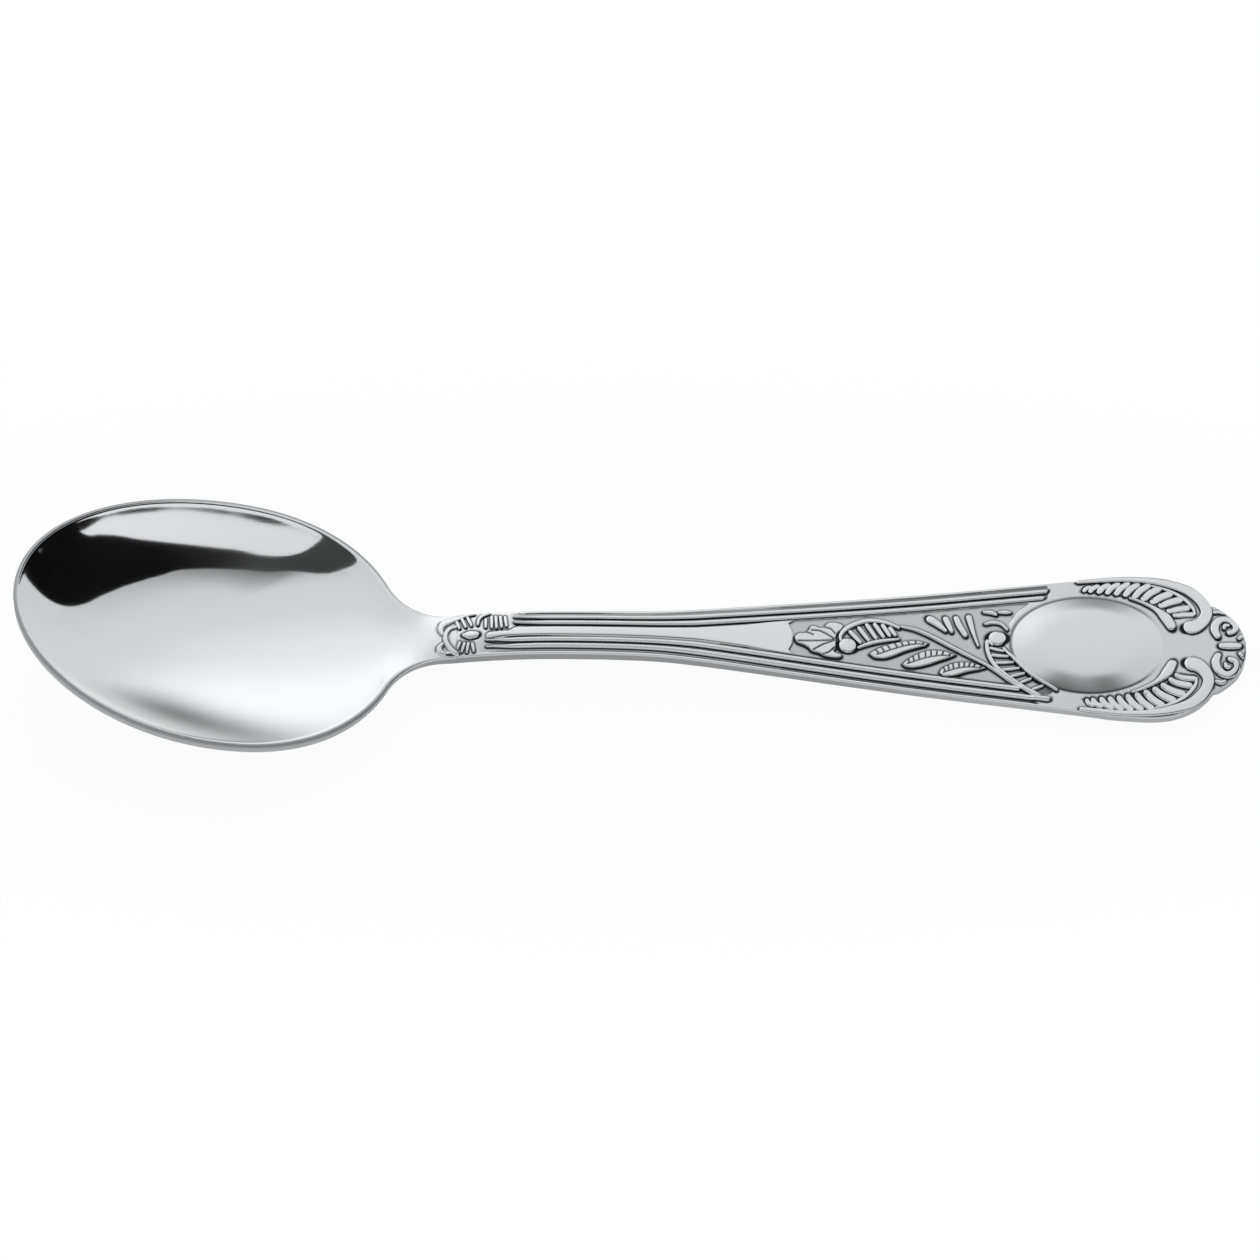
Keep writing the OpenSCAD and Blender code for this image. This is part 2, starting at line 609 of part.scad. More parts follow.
module tip_shell() {
    steel() draw([ridge(smooth(middle_lobe_shares), relief_height),
        each pair(smooth(side_lobe_shares), relief_height),
        each pair(line(volute_shares, 8), relief_height)]);
}

bowl();
stem();
panel();
terminal();
outer_threads();
inner_threads();
neck_shell();
neck_flutes();
neck_boss();
leaf_tip();
ribbon_scroll();
fern_rib();
fern_leaves();
bars();
bow();
crossing_scroll();
crossing_rungs();
cartouche();
shoulder_scrolls();
shoulder_flutes();
leaf_buds();
tip_shell();
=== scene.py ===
import math

import bmesh
import bpy
import numpy as np
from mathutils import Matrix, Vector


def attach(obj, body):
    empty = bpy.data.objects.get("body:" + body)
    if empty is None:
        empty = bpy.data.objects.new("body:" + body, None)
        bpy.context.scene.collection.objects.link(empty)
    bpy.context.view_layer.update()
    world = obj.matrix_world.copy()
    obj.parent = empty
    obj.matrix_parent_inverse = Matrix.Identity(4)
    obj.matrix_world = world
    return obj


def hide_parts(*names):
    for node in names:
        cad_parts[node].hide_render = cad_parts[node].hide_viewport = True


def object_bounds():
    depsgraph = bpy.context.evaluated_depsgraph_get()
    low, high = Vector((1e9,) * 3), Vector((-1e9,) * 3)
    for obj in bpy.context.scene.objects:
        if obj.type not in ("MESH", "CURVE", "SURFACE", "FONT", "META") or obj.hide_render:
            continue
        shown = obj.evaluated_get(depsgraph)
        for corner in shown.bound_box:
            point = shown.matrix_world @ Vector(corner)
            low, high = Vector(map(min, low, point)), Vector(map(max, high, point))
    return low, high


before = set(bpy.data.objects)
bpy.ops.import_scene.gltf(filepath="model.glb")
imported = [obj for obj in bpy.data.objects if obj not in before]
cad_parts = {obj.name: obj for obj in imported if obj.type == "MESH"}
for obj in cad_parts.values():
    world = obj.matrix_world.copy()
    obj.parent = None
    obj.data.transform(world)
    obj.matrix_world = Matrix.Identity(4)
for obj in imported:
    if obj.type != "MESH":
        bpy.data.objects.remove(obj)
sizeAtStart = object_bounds()

# Sizes, the same as the part's. A share is of the piece's own length or half width
spoonLength = round(1000 * float(sizeAtStart[1][0] - sizeAtStart[0][0]), 2)
bowl = dict(length=45.0, width=32.1, depth=6.1, wall=1.1, rimWidth=0.6, rimEdge=1.0,
    tipLift=7.6, neckDrop=3.4, widestShare=0.5186, rearShare=0.4565, lowestShare=0.56,
    filletShare=0.914, rearPower=2.2)
stem = dict(width=5.6, thickness=2.3, archHeight=5.8, archShare=0.17, neckSlope=0.225)
# The panel's length takes in the terminal, up to the spoon's end
panel = dict(length=60.0, height=3.0, slope=-0.027, flatShare=0.47, kneeShare=0.111,
    kneeSoftShare=0.063, flareShare=0.7)
# The terminal's outline: places along the panel, and shares of its half width there
terminal = dict(width=18.6, thickness=2.0,
    shoulders=np.array([[0.7, 0.94], [0.733, 0.972], [0.783, 0.995], [0.82, 1.0],
        [0.855, 0.972], [0.883, 0.905], [0.907, 0.81], [0.925, 0.7], [0.937, 0.6]]),
    tip=np.array([[0.937, 0.6], [0.95, 0.565], [0.967, 0.48], [0.982, 0.38],
        [0.993, 0.25], [1.0, 0.11]]))
# What the whole handle shares: its crown, how square its section is, and its side's height
handle = dict(crown=0.5, sectionPower=2.4, sideShare=0.65)
threads = dict(width=0.7, border=0.6)

halfWidth = bowl["width"] / 2
bowlFront = bowl["widestShare"] * bowl["length"]
bowlRear = bowl["rearShare"] * bowl["length"]
stemHalf = stem["width"] / 2
endHalf = terminal["width"] / 2
rearJoin = bowl["filletShare"] ** bowl["rearPower"]
lowestX = bowl["lowestShare"] * bowl["length"]
neckZ = bowl["wall"] + bowl["depth"] - bowl["neckDrop"]
panelStart = spoonLength - panel["length"]
terminalStart = panelStart + panel["length"] / 2
archX = bowl["length"] + stem["archShare"] * (spoonLength - bowl["length"])
flatX = panelStart + panel["flatShare"] * panel["length"]
kneeX = panelStart - panel["kneeShare"] * panel["length"]
kneeSoft = panel["kneeSoftShare"] * panel["length"]
flareEnd = panelStart + panel["flareShare"] * panel["length"]
shoulderX = panelStart + terminal["shoulders"][1][0] * panel["length"]
cuspX = panelStart + terminal["tip"][0][0] * panel["length"]

# Curves

def ease(t):
    u = np.clip(t, 0, 1)
    return u * u * (3 - 2 * u)


def mix(a, b, t):
    return a + (b - a) * t


def hermite(t, run, z0, m0, z1, m1):
    return (z0 * (2 * t ** 3 - 3 * t * t + 1) + run * m0 * (t ** 3 - 2 * t * t + t)
        + z1 * (3 * t * t - 2 * t ** 3) + run * m1 * (t ** 3 - t * t))


# One span of a smooth curve, from b to c
def spanAt(a, b, c, d, t):
    return 0.5 * (2 * b + (c - a) * t + (2 * a - 5 * b + 4 * c - d) * t * t
        + (d - a + 3 * (b - c)) * t ** 3)


# Smooth curve through points, at shares u of its way
def curveAt(points, u):
    points = np.asarray(points, float)
    k = len(points) - 1
    u = np.asarray(u, float)
    i = np.clip(np.floor(u * k).astype(int), 0, k - 1)
    return spanAt(points[np.maximum(0, i - 1)], points[i], points[i + 1],
        points[np.minimum(k, i + 2)], (u * k - i)[..., None])


def closedCurve(points, steps=6):
    points = np.asarray(points, float)
    count = len(points)
    return np.array([spanAt(*(points[(i + k) % count] for k in (-1, 0, 1, 2)), t)
        for i in range(count) for t in np.arange(steps) / steps])


def smoothLine(points, steps=24):
    return curveAt(points, np.linspace(0, 1, steps + 1))


# Second value of a curve over a place x along it
def curveHeight(points, x):
    i = np.clip(np.searchsorted(points[:, 0], x, side="right") - 1, 0, len(points) - 2)
    t = np.clip((x - points[i, 0]) / (points[i + 1, 0] - points[i, 0]), 0, 1)
    return curveAt(points, (i + t) / (len(points) - 1))[..., 1]


# How far places lie from the line between a and b, and the share of it that is nearest
def fromLine(a, b, x, y):
    dx, dy = b[0] - a[0], b[1] - a[1]
    t = np.clip(((x - a[0]) * dx + (y - a[1]) * dy) / (dx * dx + dy * dy + 1e-12), 0, 1)
    return np.hypot(x - a[0] - t * dx, y - a[1] - t * dy), t


# Distance to a line of many points in plan
def distanceToLine(line, x, y):
    x, y = np.broadcast_arrays(np.asarray(x, float), np.asarray(y, float))
    best = np.full(x.shape, 1e9)
    for a, b in zip(line[:-1], line[1:]):
        best = np.minimum(best, fromLine(a, b, x, y)[0])
    return best


# Signed distance to a closed outline in plan, below zero inside it
def distanceTo(outline, x, y):
    x, y = np.broadcast_arrays(np.asarray(x, float), np.asarray(y, float))
    away = distanceToLine(np.concatenate([outline, outline[:1]]), x, y)
    inside = np.zeros(x.shape, bool)
    for a, b in zip(outline, np.roll(outline, -1, axis=0)):
        if abs(b[1] - a[1]) > 1e-12:
            crossX = a[0] + (y - a[1]) * (b[0] - a[0]) / (b[1] - a[1])
            inside ^= ((a[1] > y) != (b[1] > y)) & (x < crossX)
    return np.where(inside, -away, away)


# Which places lie in the box round some points, with a border
def boxAround(points, border, x, y):
    low, high = points[:, :2].min(0) - border, points[:, :2].max(0) + border
    return (x > low[0]) & (x < high[0]) & (y > low[1]) & (y < high[1])


# Outline in plan. An inset of 0 gives the outer edge, and one of a rim's width the hollow

def rearHalf(inset, u):
    return (halfWidth - inset) * np.sqrt(np.maximum(0, 1 - np.abs(u) ** bowl["rearPower"]))


def joinAngle(inset):
    power, share = bowl["rearPower"], bowl["filletShare"]
    return math.atan((halfWidth - inset) * power * share ** (power - 1)
        / (2 * (bowlRear - inset) * math.sqrt(1 - rearJoin)))


def filletRadius(inset):
    gap = float(rearHalf(inset, bowl["filletShare"])) - stemHalf + inset
    return gap / (1 - math.cos(joinAngle(inset)))


def joinX(inset):
    return bowlFront + bowl["filletShare"] * (bowlRear - inset)


def filletEnd(inset):
    return joinX(inset) + filletRadius(inset) * math.sin(joinAngle(inset))


bowlEnd = filletEnd(0) + 2 * bowl["rimWidth"]


def bowlHalf(x, inset):
    x = np.asarray(x, float)
    back = (bowlFront - x) / (bowlFront - inset)
    front = (halfWidth - inset) * np.sqrt(np.maximum(0, 1 - back ** 2))
    rear = rearHalf(inset, np.clip((x - bowlFront) / (bowlRear - inset), 0, 1))
    radius = filletRadius(inset)
    sweep = np.sqrt(np.maximum(0, radius ** 2 - (filletEnd(inset) - x) ** 2))
    fillet = stemHalf - inset + radius - sweep
    return np.where(x < bowlFront, front, np.where(x < joinX(inset), rear,
        np.where(x < filletEnd(inset), fillet, stemHalf - inset)))


def handleHalf(x):
    x = np.asarray(x, float)
    slope = (terminal["shoulders"][0][1] * endHalf - stemHalf) / (flareEnd - kneeX)
    flare = stemHalf + slope * ((x - kneeX) + np.sqrt((x - kneeX) ** 2 + kneeSoft ** 2)) / 2
    share = (x - panelStart) / panel["length"]
    shoulder = endHalf * curveHeight(terminal["shoulders"], share)
    tip = endHalf * curveHeight(terminal["tip"], share)
    blended = flare + (shoulder - flare) * ease((x - flareEnd) / (shoulderX - flareEnd))
    return np.where(x < flareEnd, flare, np.where(x < shoulderX, blended,
        np.where(x < cuspX, shoulder, tip)))


neckExcess = float(handleHalf(bowlEnd)) - stemHalf


def half(x):
    x = np.asarray(x, float)
    slim = handleHalf(x) - neckExcess * (1 - ease((x - bowlEnd) / (archX - bowlEnd)))
    return np.where(x < bowlEnd, bowlHalf(x, 0), slim)


# Profile along the middle, and heights over any place

def rimZ(x):
    back = bowl["length"] - lowestX
    bend = (bowl["tipLift"] / lowestX - bowl["neckDrop"] / back) / bowl["length"]
    slope = bowl["neckDrop"] / back + bend * back
    return bowl["wall"] + bowl["depth"] + slope * (lowestX - x) + bend * (lowestX - x) ** 2


def keelZ(x, tipX, tipZ, lowZ, rearZ):
    front, back = lowestX - tipX, bowl["length"] - lowestX
    rearSlope = min(stem["neckSlope"], 3 * (rearZ - lowZ) / back)
    bend = (6 * (rearZ - lowZ) - 2 * back * rearSlope) / back ** 2
    tipSlope = (bend * front ** 2 - 6 * (tipZ - lowZ)) / (2 * front)
    return np.where(x < lowestX, hermite((x - tipX) / front, front, tipZ, tipSlope, lowZ, 0),
        hermite((x - lowestX) / back, back, lowZ, 0, rearZ, rearSlope))


def handleZ(x):
    def between(start, end, z0, m0, z1, m1):
        return hermite((x - start) / (end - start), end - start, z0, m0, z1, m1)

    slope = panel["slope"]
    rise = between(bowl["length"], archX, neckZ, stem["neckSlope"], stem["archHeight"], 0)
    fall = between(archX, flatX, stem["archHeight"], 0, panel["height"], slope)
    flat = between(flatX, spoonLength, panel["height"], slope, terminal["thickness"], slope)
    return np.where(x < archX, rise, np.where(x < flatX, fall, flat))


def thickness(x):
    return mix(stem["thickness"], terminal["thickness"], ease((x - archX) / (flatX - archX)))


def middleZ(x):
    x = np.asarray(x, float)
    start = bowl["rimWidth"]
    inBowl = keelZ(np.maximum(x, start), start, rimZ(start), bowl["wall"], neckZ)
    return np.where(x < bowl["length"], inBowl, handleZ(x))


def underZ(x):
    x = np.asarray(x, float)
    inBowl = keelZ(x, 0, rimZ(0) - bowl["rimEdge"], 0, neckZ - stem["thickness"])
    return np.where(x < bowl["length"], inBowl, handleZ(x) - thickness(x))


# How far the rim rises over the hollow's middle, until the rim fades into the neck
def hollow(x):
    rise = rimZ(x) - middleZ(x)
    soft = (rise + np.sqrt(rise ** 2 + (bowl["rimEdge"] / 2) ** 2)) / 2
    fade = 1 - ease((x - bowl["length"]) / (bowlEnd - bowl["length"]))
    plain = np.maximum(0, rise)
    return np.where(x < lowestX, plain, mix(plain, soft, ease((x - lowestX) / 9)) * fade)


def edgeZ(x):
    x = np.asarray(x, float)
    start = bowl["length"] - bowl["rimWidth"]
    crown = handle["crown"] * ease((x - start) / (bowlEnd - bowl["length"]))
    return np.where(x < bowl["rimWidth"], rimZ(x), middleZ(x) + hollow(x) - crown)


# 0 on the bowl, 1 on the handle, and a soft change over the fillets' end
def pastFillet(x):
    return ease((x - joinX(0)) / (bowlEnd - joinX(0)))


def side(x):
    return mix(bowl["rimEdge"], handle["sideShare"] * thickness(x), pastFillet(x))


def topHalf(x):
    blended = mix(bowlHalf(x, bowl["rimWidth"]), half(x), pastFillet(x))
    return np.where(x >= bowlEnd, half(x), blended)


def topZ(x, y):
    share = np.minimum(1, np.abs(y) / np.maximum(topHalf(x), 0.03))
    middle = middleZ(x)
    return middle + (edgeZ(x) - middle) * share ** handle["sectionPower"]


def bottomZ(x, y):
    share = np.minimum(1, np.abs(y) / np.maximum(half(x), 0.03))
    under = underZ(x)
    return under + (edgeZ(x) - side(x) - under) * share ** handle["sectionPower"]


# The struck ground: how far it lies under the handle's plain top

def threadPitch(x):
    return np.minimum(1.3 * threads["width"], 0.27 * half(x))


def threadEdge(place, x):
    return half(x) - threads["border"] - (place + 0.5) * threadPitch(x)


# Inner edge of the inner threads, as a distance from the handle's edge
def threadsInside(x):
    return threads["border"] + 1.92 * threadPitch(x)


def mirrored(points):
    return np.array(points, float) * [1, -1, 1]


# Oval boss: its middle, its reach to the bowl and to the end, its half width, the groove
# round it, the slopes of its crown, and its rows and columns
boss = dict(x=122.0, back=8.9, front=8.7, half=6.25, grooveHalf=0.32, grooveDepth=0.12,
    gentle=0.16, steep=0.24, rows=110, across=70)


def bossShare(x, y):
    reach = np.where(x < boss["x"], boss["back"], boss["front"])
    return np.sqrt(((x - boss["x"]) / reach) ** 2 + (y / boss["half"]) ** 2)


# Sunk field: a round end towards the bowl, the threads along its sides, and the
# boss's border and the crossing scroll towards the handle's end
fieldX = np.linspace(88.4, 113.2, 40)
farSide = np.stack([fieldX, half(fieldX) - threadsInside(fieldX) - 0.05], 1)
fieldOutline = np.concatenate([
    farSide * [1, -1],
    [[114.6, -5.9], [116.3, -6.6], [117.6, -6.5], [117.9, -6.0], [115.6, -4.3], [114.3, -3.1],
        [113.1, -1.7], [112.5, -0.2], [112.75, 0.9], [113.0, 1.6], [113.2, 2.9], [114.0, 4.2],
        [115.6, 5.5]],
    farSide[::-1],
    [[87.7, 1.75], [88.1, 0.9], [88.2, 0], [88.1, -0.9], [87.7, -1.75]]])
# Sunk trough under the flutes, as it lies on the far side. The near side mirrors it
troughOutline = np.array([
    [120.9, 7.0], [121.9, 8.0], [123.7, 8.35], [126, 8.5], [128, 8.5], [130, 8.15], [131.6, 7.6],
    [133.1, 6.6], [134.1, 5.4], [134.45, 4.3], [134.2, 3.75], [133.2, 3.8], [132.5, 3.5],
    [131.6, 4.3], [130.4, 5.2], [128.6, 5.95], [126.2, 6.45], [123.6, 6.75]])
# Depths of the field, the trough and the threads' channel, the run of their walls, and
# where the channel starts and ends on the far and the near side
ground = dict(field=0.24, trough=0.22, channel=0.2, wallRun=0.16,
    farStart=55.5, nearStart=51.5, farEnd=117.0, nearEnd=114.0, lastEnd=117.6)


def groundSink(x, y):
    x, y = np.broadcast_arrays(np.asarray(x, float), np.asarray(y, float))
    wall = ground["wallRun"]
    sink = np.zeros(x.shape)
    for outline, across, depth in ((fieldOutline, y, ground["field"]),
            (troughOutline, np.abs(y), ground["trough"])):
        where = boxAround(outline, 1.0, x, across)
        if where.any():
            away = distanceTo(outline, x[where], across[where])
            sink[where] = np.maximum(sink[where], depth * (1 - ease((away + wall) / wall)))
    fromEdge = half(x) - np.abs(y)
    inside = threadsInside(x)
    # The channel's inner wall is gentle on the stem and steep beside the field
    gentle = wall + 0.5 * (1 - ease((x - 82) / 6))
    outer = 1 - ease((0.3 - fromEdge + wall) / wall)
    inner = 1 - ease((fromEdge - inside + wall) / gentle)
    end = np.where(y > 0, ground["farEnd"], ground["nearEnd"]) + 1.2 * (inside - fromEdge)
    along = np.where(y > 0, ease((x - ground["farStart"]) / 2.5),
        ease((x - ground["nearStart"]) / 4.5))
    along = along * (1 - ease((x - np.minimum(end, ground["lastEnd"]) + wall) / wall))
    return np.maximum(sink, ground["channel"] * np.minimum(outer, inner) * along)


def topSurface(x, y):
    return topZ(x, y) - groundSink(x, y)


# The ornament's lines. Each point is a place along the spoon, a place across it and
# a half width, and each line stands for one raised form

def threadLines(place):
    lines = []
    for way, start in ((1, 56.6), (-1, 53.4)):
        end = 117.2 if place == 0 else 116.8 if way > 0 else 113.8
        x = np.linspace(start, end, 60)
        taper = 0.35 + 0.65 * ease((x - start) / 4)
        lines.append(np.stack([x, way * threadEdge(place, x), 0.36 * taper * threadPitch(x)], 1))
    return lines


neckLines = [
    [[48.35, 0.2, 0.2], [48.15, 0.85, 0.34], [48.45, 1.5, 0.44], [49.15, 1.9, 0.46],
        [50.0, 2.15, 0.36], [51.0, 2.45, 0.2], [52.0, 2.6, 0.12]],
    [[49.9, 0.95, 0.2], [49.35, 0.85, 0.26], [48.95, 0.5, 0.27], [48.7, -0.1, 0.28],
        [48.78, -0.85, 0.28], [49.1, -1.5, 0.28], [49.6, -2.1, 0.27], [50.1, -2.5, 0.2]],
    [[48.35, -1.15, 0.2], [48.02, -1.55, 0.31], [48.1, -2.0, 0.32], [48.55, -2.35, 0.22]],
    [[52.4, 1.05, 0.16], [52.5, 1.75, 0.22], [52.95, 2.3, 0.24], [53.6, 2.55, 0.18]]]
farFlutes = [[50.0, 1.6, 50.3, 0.75], [50.55, 2.1, 51.0, 0.85], [51.22, 2.2, 51.65, 1.0],
    [53.3, 1.75, 53.3, 0.65], [53.96, 2.05, 53.98, 0.55], [54.45, 2.05, 54.52, 0.52],
    [54.95, 2.0, 55.1, 0.56], [55.5, 1.9, 55.65, 0.65]]
nearFlutes = [[50.35, -1.15, 50.15, -1.75], [50.88, -1.3, 50.62, -2.15],
    [51.32, -1.35, 51.18, -2.28], [51.78, -1.4, 51.95, -2.2]]
neckKnob = [[50.85, -0.25, 0.26], [51.45, -0.27, 0.56], [52.15, -0.25, 0.44]]
# The cut round the rounded end of the stem's plain middle, its half width and its depth
stemCut = smoothLine([[57.3, 1.2], [56.67, 0.66], [56.0, 0.22], [55.16, 0.22], [54.25, 0.17],
    [53.56, 0.04], [53.26, -0.41], [53.42, -0.84], [53.72, -1.16], [54.56, -1.37],
    [56.68, -1.4], [59.11, -1.36]], 60)
cutHalf, cutDepth = 0.17, 0.1
# The palmette's outline and the grooves between its lobes
palmetteOutline = [[88.45, 0], [89.0, 0.6], [89.6, 0.62], [90.0, 0.95], [90.25, 1.45],
    [90.7, 1.65], [91.3, 1.42], [91.8, 1.5], [92.2, 2.0], [92.8, 2.2], [93.7, 2.05],
    [94.1, 1.6], [93.8, 1.1], [93.35, 0.6], [93.2, 0], [93.2, -0.7], [93.15, -1.3],
    [93.0, -1.7], [93.8, -2.05], [93.75, -2.42], [92.9, -2.5], [91.9, -2.35], [91.2, -2.0],
    [90.4, -1.8], [90.0, -1.35], [89.4, -1.0], [88.7, -0.7]]
palmetteVeins = [[[88.9, -0.5], [91.1, -0.42], [93.0, -0.2]],
    [[90.4, 0.95], [91.3, 0.9], [92.2, 0.45], [93.0, -0.1]],
    [[90.6, -1.6], [91.5, -1.0], [92.3, -0.6], [93.0, -0.3]],
    [[91.9, 1.4], [92.6, 1.2], [93.1, 0.6]],
    [[91.7, -2.1], [92.4, -1.8], [93.0, -1.2]],
    [[89.9, 0.65], [90.6, 0.35]]]
ribbonTop = [[93.75, -0.3, 0.16], [93.7, 0.4, 0.24], [94.3, 1.3, 0.3], [95.4, 2.05, 0.3],
    [96.7, 2.55, 0.3], [97.7, 2.6, 0.28], [98.9, 2.4, 0.26], [100.35, 1.75, 0.2]]
ribbonLow = [[95.75, -1.05, 0.16], [96.6, -0.65, 0.22], [97.7, -0.25, 0.24], [98.9, 0.0, 0.22],
    [100.3, 0.2, 0.16]]
ribbonFingers = [[94.85, 0.95, 95.95, -0.35], [95.85, 1.5, 96.9, -0.05],
    [96.75, 1.95, 97.75, 0.25], [97.65, 2.05, 98.6, 0.45], [98.55, 1.95, 99.3, 0.65],
    [99.4, 1.6, 99.95, 0.75]]
ribLine = [[100.7, 1.9, 0.18], [102.3, 1.55, 0.24], [104.2, 0.65, 0.26], [106.3, -0.6, 0.26],
    [108.5, -1.85, 0.24], [110.8, -3.2, 0.22], [113.2, -5.0, 0.24], [116.2, -6.95, 0.2]]
# Each fern leaf: its upper edge from the tip to the stalk, and its lower edge back
fernLeaves = [
    ([[96.9, -1.85], [97.55, -1.3], [98.6, -0.72], [99.8, -0.3], [101.0, -0.02], [102.4, 0.1],
        [103.85, -0.25]], [[103.45, -0.62], [102.35, -0.95], [101.1, -1.4], [99.9, -1.97],
        [98.7, -2.38], [97.5, -2.35]]),
    ([[100.65, -3.05], [101.3, -2.38], [102.2, -1.75], [103.3, -1.25], [104.4, -1.08],
        [105.6, -1.2], [106.95, -1.7]], [[106.1, -2.1], [105.05, -2.5], [103.95, -2.94],
        [102.85, -3.28], [101.8, -3.45], [101.0, -3.35]]),
    ([[104.85, -3.95], [105.3, -3.3], [106.15, -2.85], [107.1, -2.6], [108.2, -2.55],
        [109.2, -2.8], [110.4, -3.3]], [[109.4, -3.6], [108.3, -3.82], [107.2, -4.18],
        [106.1, -4.5], [105.3, -4.5]])]
barLines = [
    [[104.0, 3.0, 0.5], [104.8, 2.4, 0.42], [105.7, 1.5, 0.2]],
    [[105.75, 3.1, 0.36], [106.05, 2.3, 0.34], [106.4, 1.45, 0.24]],
    [[106.95, 3.2, 0.34], [107.3, 2.2, 0.36], [107.95, 1.0, 0.3]],
    [[108.4, 3.35, 0.36], [108.65, 2.2, 0.3], [109.0, 0.8, 0.2], [109.4, -0.4, 0.14]]]
bowLines = [
    [[110.2, 4.1, 0.2], [110.9, 4.1, 0.3], [111.5, 3.8, 0.2]],
    [[111.9, 4.1, 0.2], [112.6, 4.15, 0.28], [113.1, 4.1, 0.18]],
    [[110.3, 2.5, 0.18], [111.2, 2.75, 0.26], [112.1, 2.5, 0.2], [112.75, 1.75, 0.16]]]
crossLeft = [[111.0, -0.25, 0.18], [110.45, 0.2, 0.24], [110.5, -1.2, 0.26], [111.2, -2.8, 0.26],
    [112.6, -4.2, 0.24], [114.4, -5.5, 0.22], [116.3, -6.75, 0.18]]
crossRight = [[112.3, -0.7, 0.18], [113.15, -1.75, 0.2], [114.4, -3.15, 0.2],
    [115.7, -4.35, 0.2], [118.2, -6.0, 0.18]]
armLine = [[121.0, 8.35, 0.24], [123.4, 8.6, 0.28], [126.2, 8.8, 0.32], [129.0, 8.7, 0.4],
    [131.4, 8.25, 0.52], [133.6, 7.4, 0.64], [135.1, 5.95, 0.68], [135.6, 4.5, 0.68],
    [135.2, 3.35, 0.74], [134.4, 2.6, 0.84], [133.75, 2.4, 0.88]]
innerArm = [[129.4, 8.05, 0.14], [131.2, 7.5, 0.2], [132.9, 6.5, 0.24], [134.0, 5.2, 0.22],
    [134.25, 4.2, 0.14]]
budLine = [[126.9, 6.15, 0.16], [128.3, 5.6, 0.2], [129.8, 4.7, 0.3], [130.9, 3.6, 0.62],
    [131.5, 2.5, 0.55]]
fluteInner = [[121.7, 7.25, 0], [123.6, 7.1, 0], [125.8, 6.85, 0], [128.1, 6.35, 0],
    [130.3, 5.4, 0], [132.0, 3.95, 0]]
fluteOuter = [[122.3, 7.75, 0], [124.6, 8.1, 0], [127.0, 8.2, 0], [129.6, 7.8, 0],
    [132.3, 6.35, 0], [133.9, 4.2, 0]]
tipLines = [
    [[137.25, 0.0, 0.4], [138.2, 0.0, 0.46], [139.1, 0.0, 0.4]],
    [[136.75, 1.3, 0.4], [136.45, 2.15, 0.5], [136.7, 3.05, 0.5], [137.45, 3.65, 0.46],
        [138.3, 3.45, 0.4], [138.85, 2.75, 0.36], [138.7, 2.0, 0.34], [138.15, 1.75, 0.34]],
    [[137.55, 2.35, 0.22], [137.7, 2.75, 0.28], [138.05, 2.75, 0.2]],
    [[139.25, 1.0, 0.24], [139.5, 1.35, 0.22]],
    [[136.55, 4.55, 0.24], [137.0, 4.65, 0.26], [137.5, 4.45, 0.18]]]


# Flutes between two lines: their number, half width as a share of the pitch, and a bend
def flutesBetween(inner, outer, count, widthShare, bend=0.0):
    a, b = smoothLine(inner, count - 1), smoothLine(outer, count - 1)
    pitch = np.hypot(*np.gradient((a + b)[:, :2] / 2, axis=0).T)
    lines = []
    for i in range(count):
        middle = (a[i] + b[i]) / 2 + [-bend, bend * 0.5, 0]
        lines.append([[*place[:2], widthShare * pitch[i] * swell]
            for place, swell in ((a[i], 0.9), (middle, 1.0), (b[i], 1.05))])
    return lines


# Short strokes from rows of a start and an end
def strokes(rows, halfStroke):
    return [[[x0, y0, halfStroke], [(x0 + x1) / 2, (y0 + y1) / 2, halfStroke],
        [x1, y1, halfStroke * 0.85]] for x0, y0, x1, y1 in rows]


def bothSides(lines):
    return [np.array(line, float) for line in lines] + [mirrored(line) for line in lines]


def disc(x, y, radius):
    return [[x + shift, y, radius] for shift in (-0.02, 0, 0.02)]


# Rungs between the crossing scroll's two rails, clear of both
def rungsBetween(left, right, count=7, clear=0.42):
    rows = []
    for a, b in list(zip(smoothLine(left, count + 1), smoothLine(right, count + 1)))[1:-1]:
        reach = clear / np.hypot(*(b - a)[:2])
        rows.append([*mix(a, b, reach)[:2], *mix(a, b, 1 - reach)[:2]])
    return rows


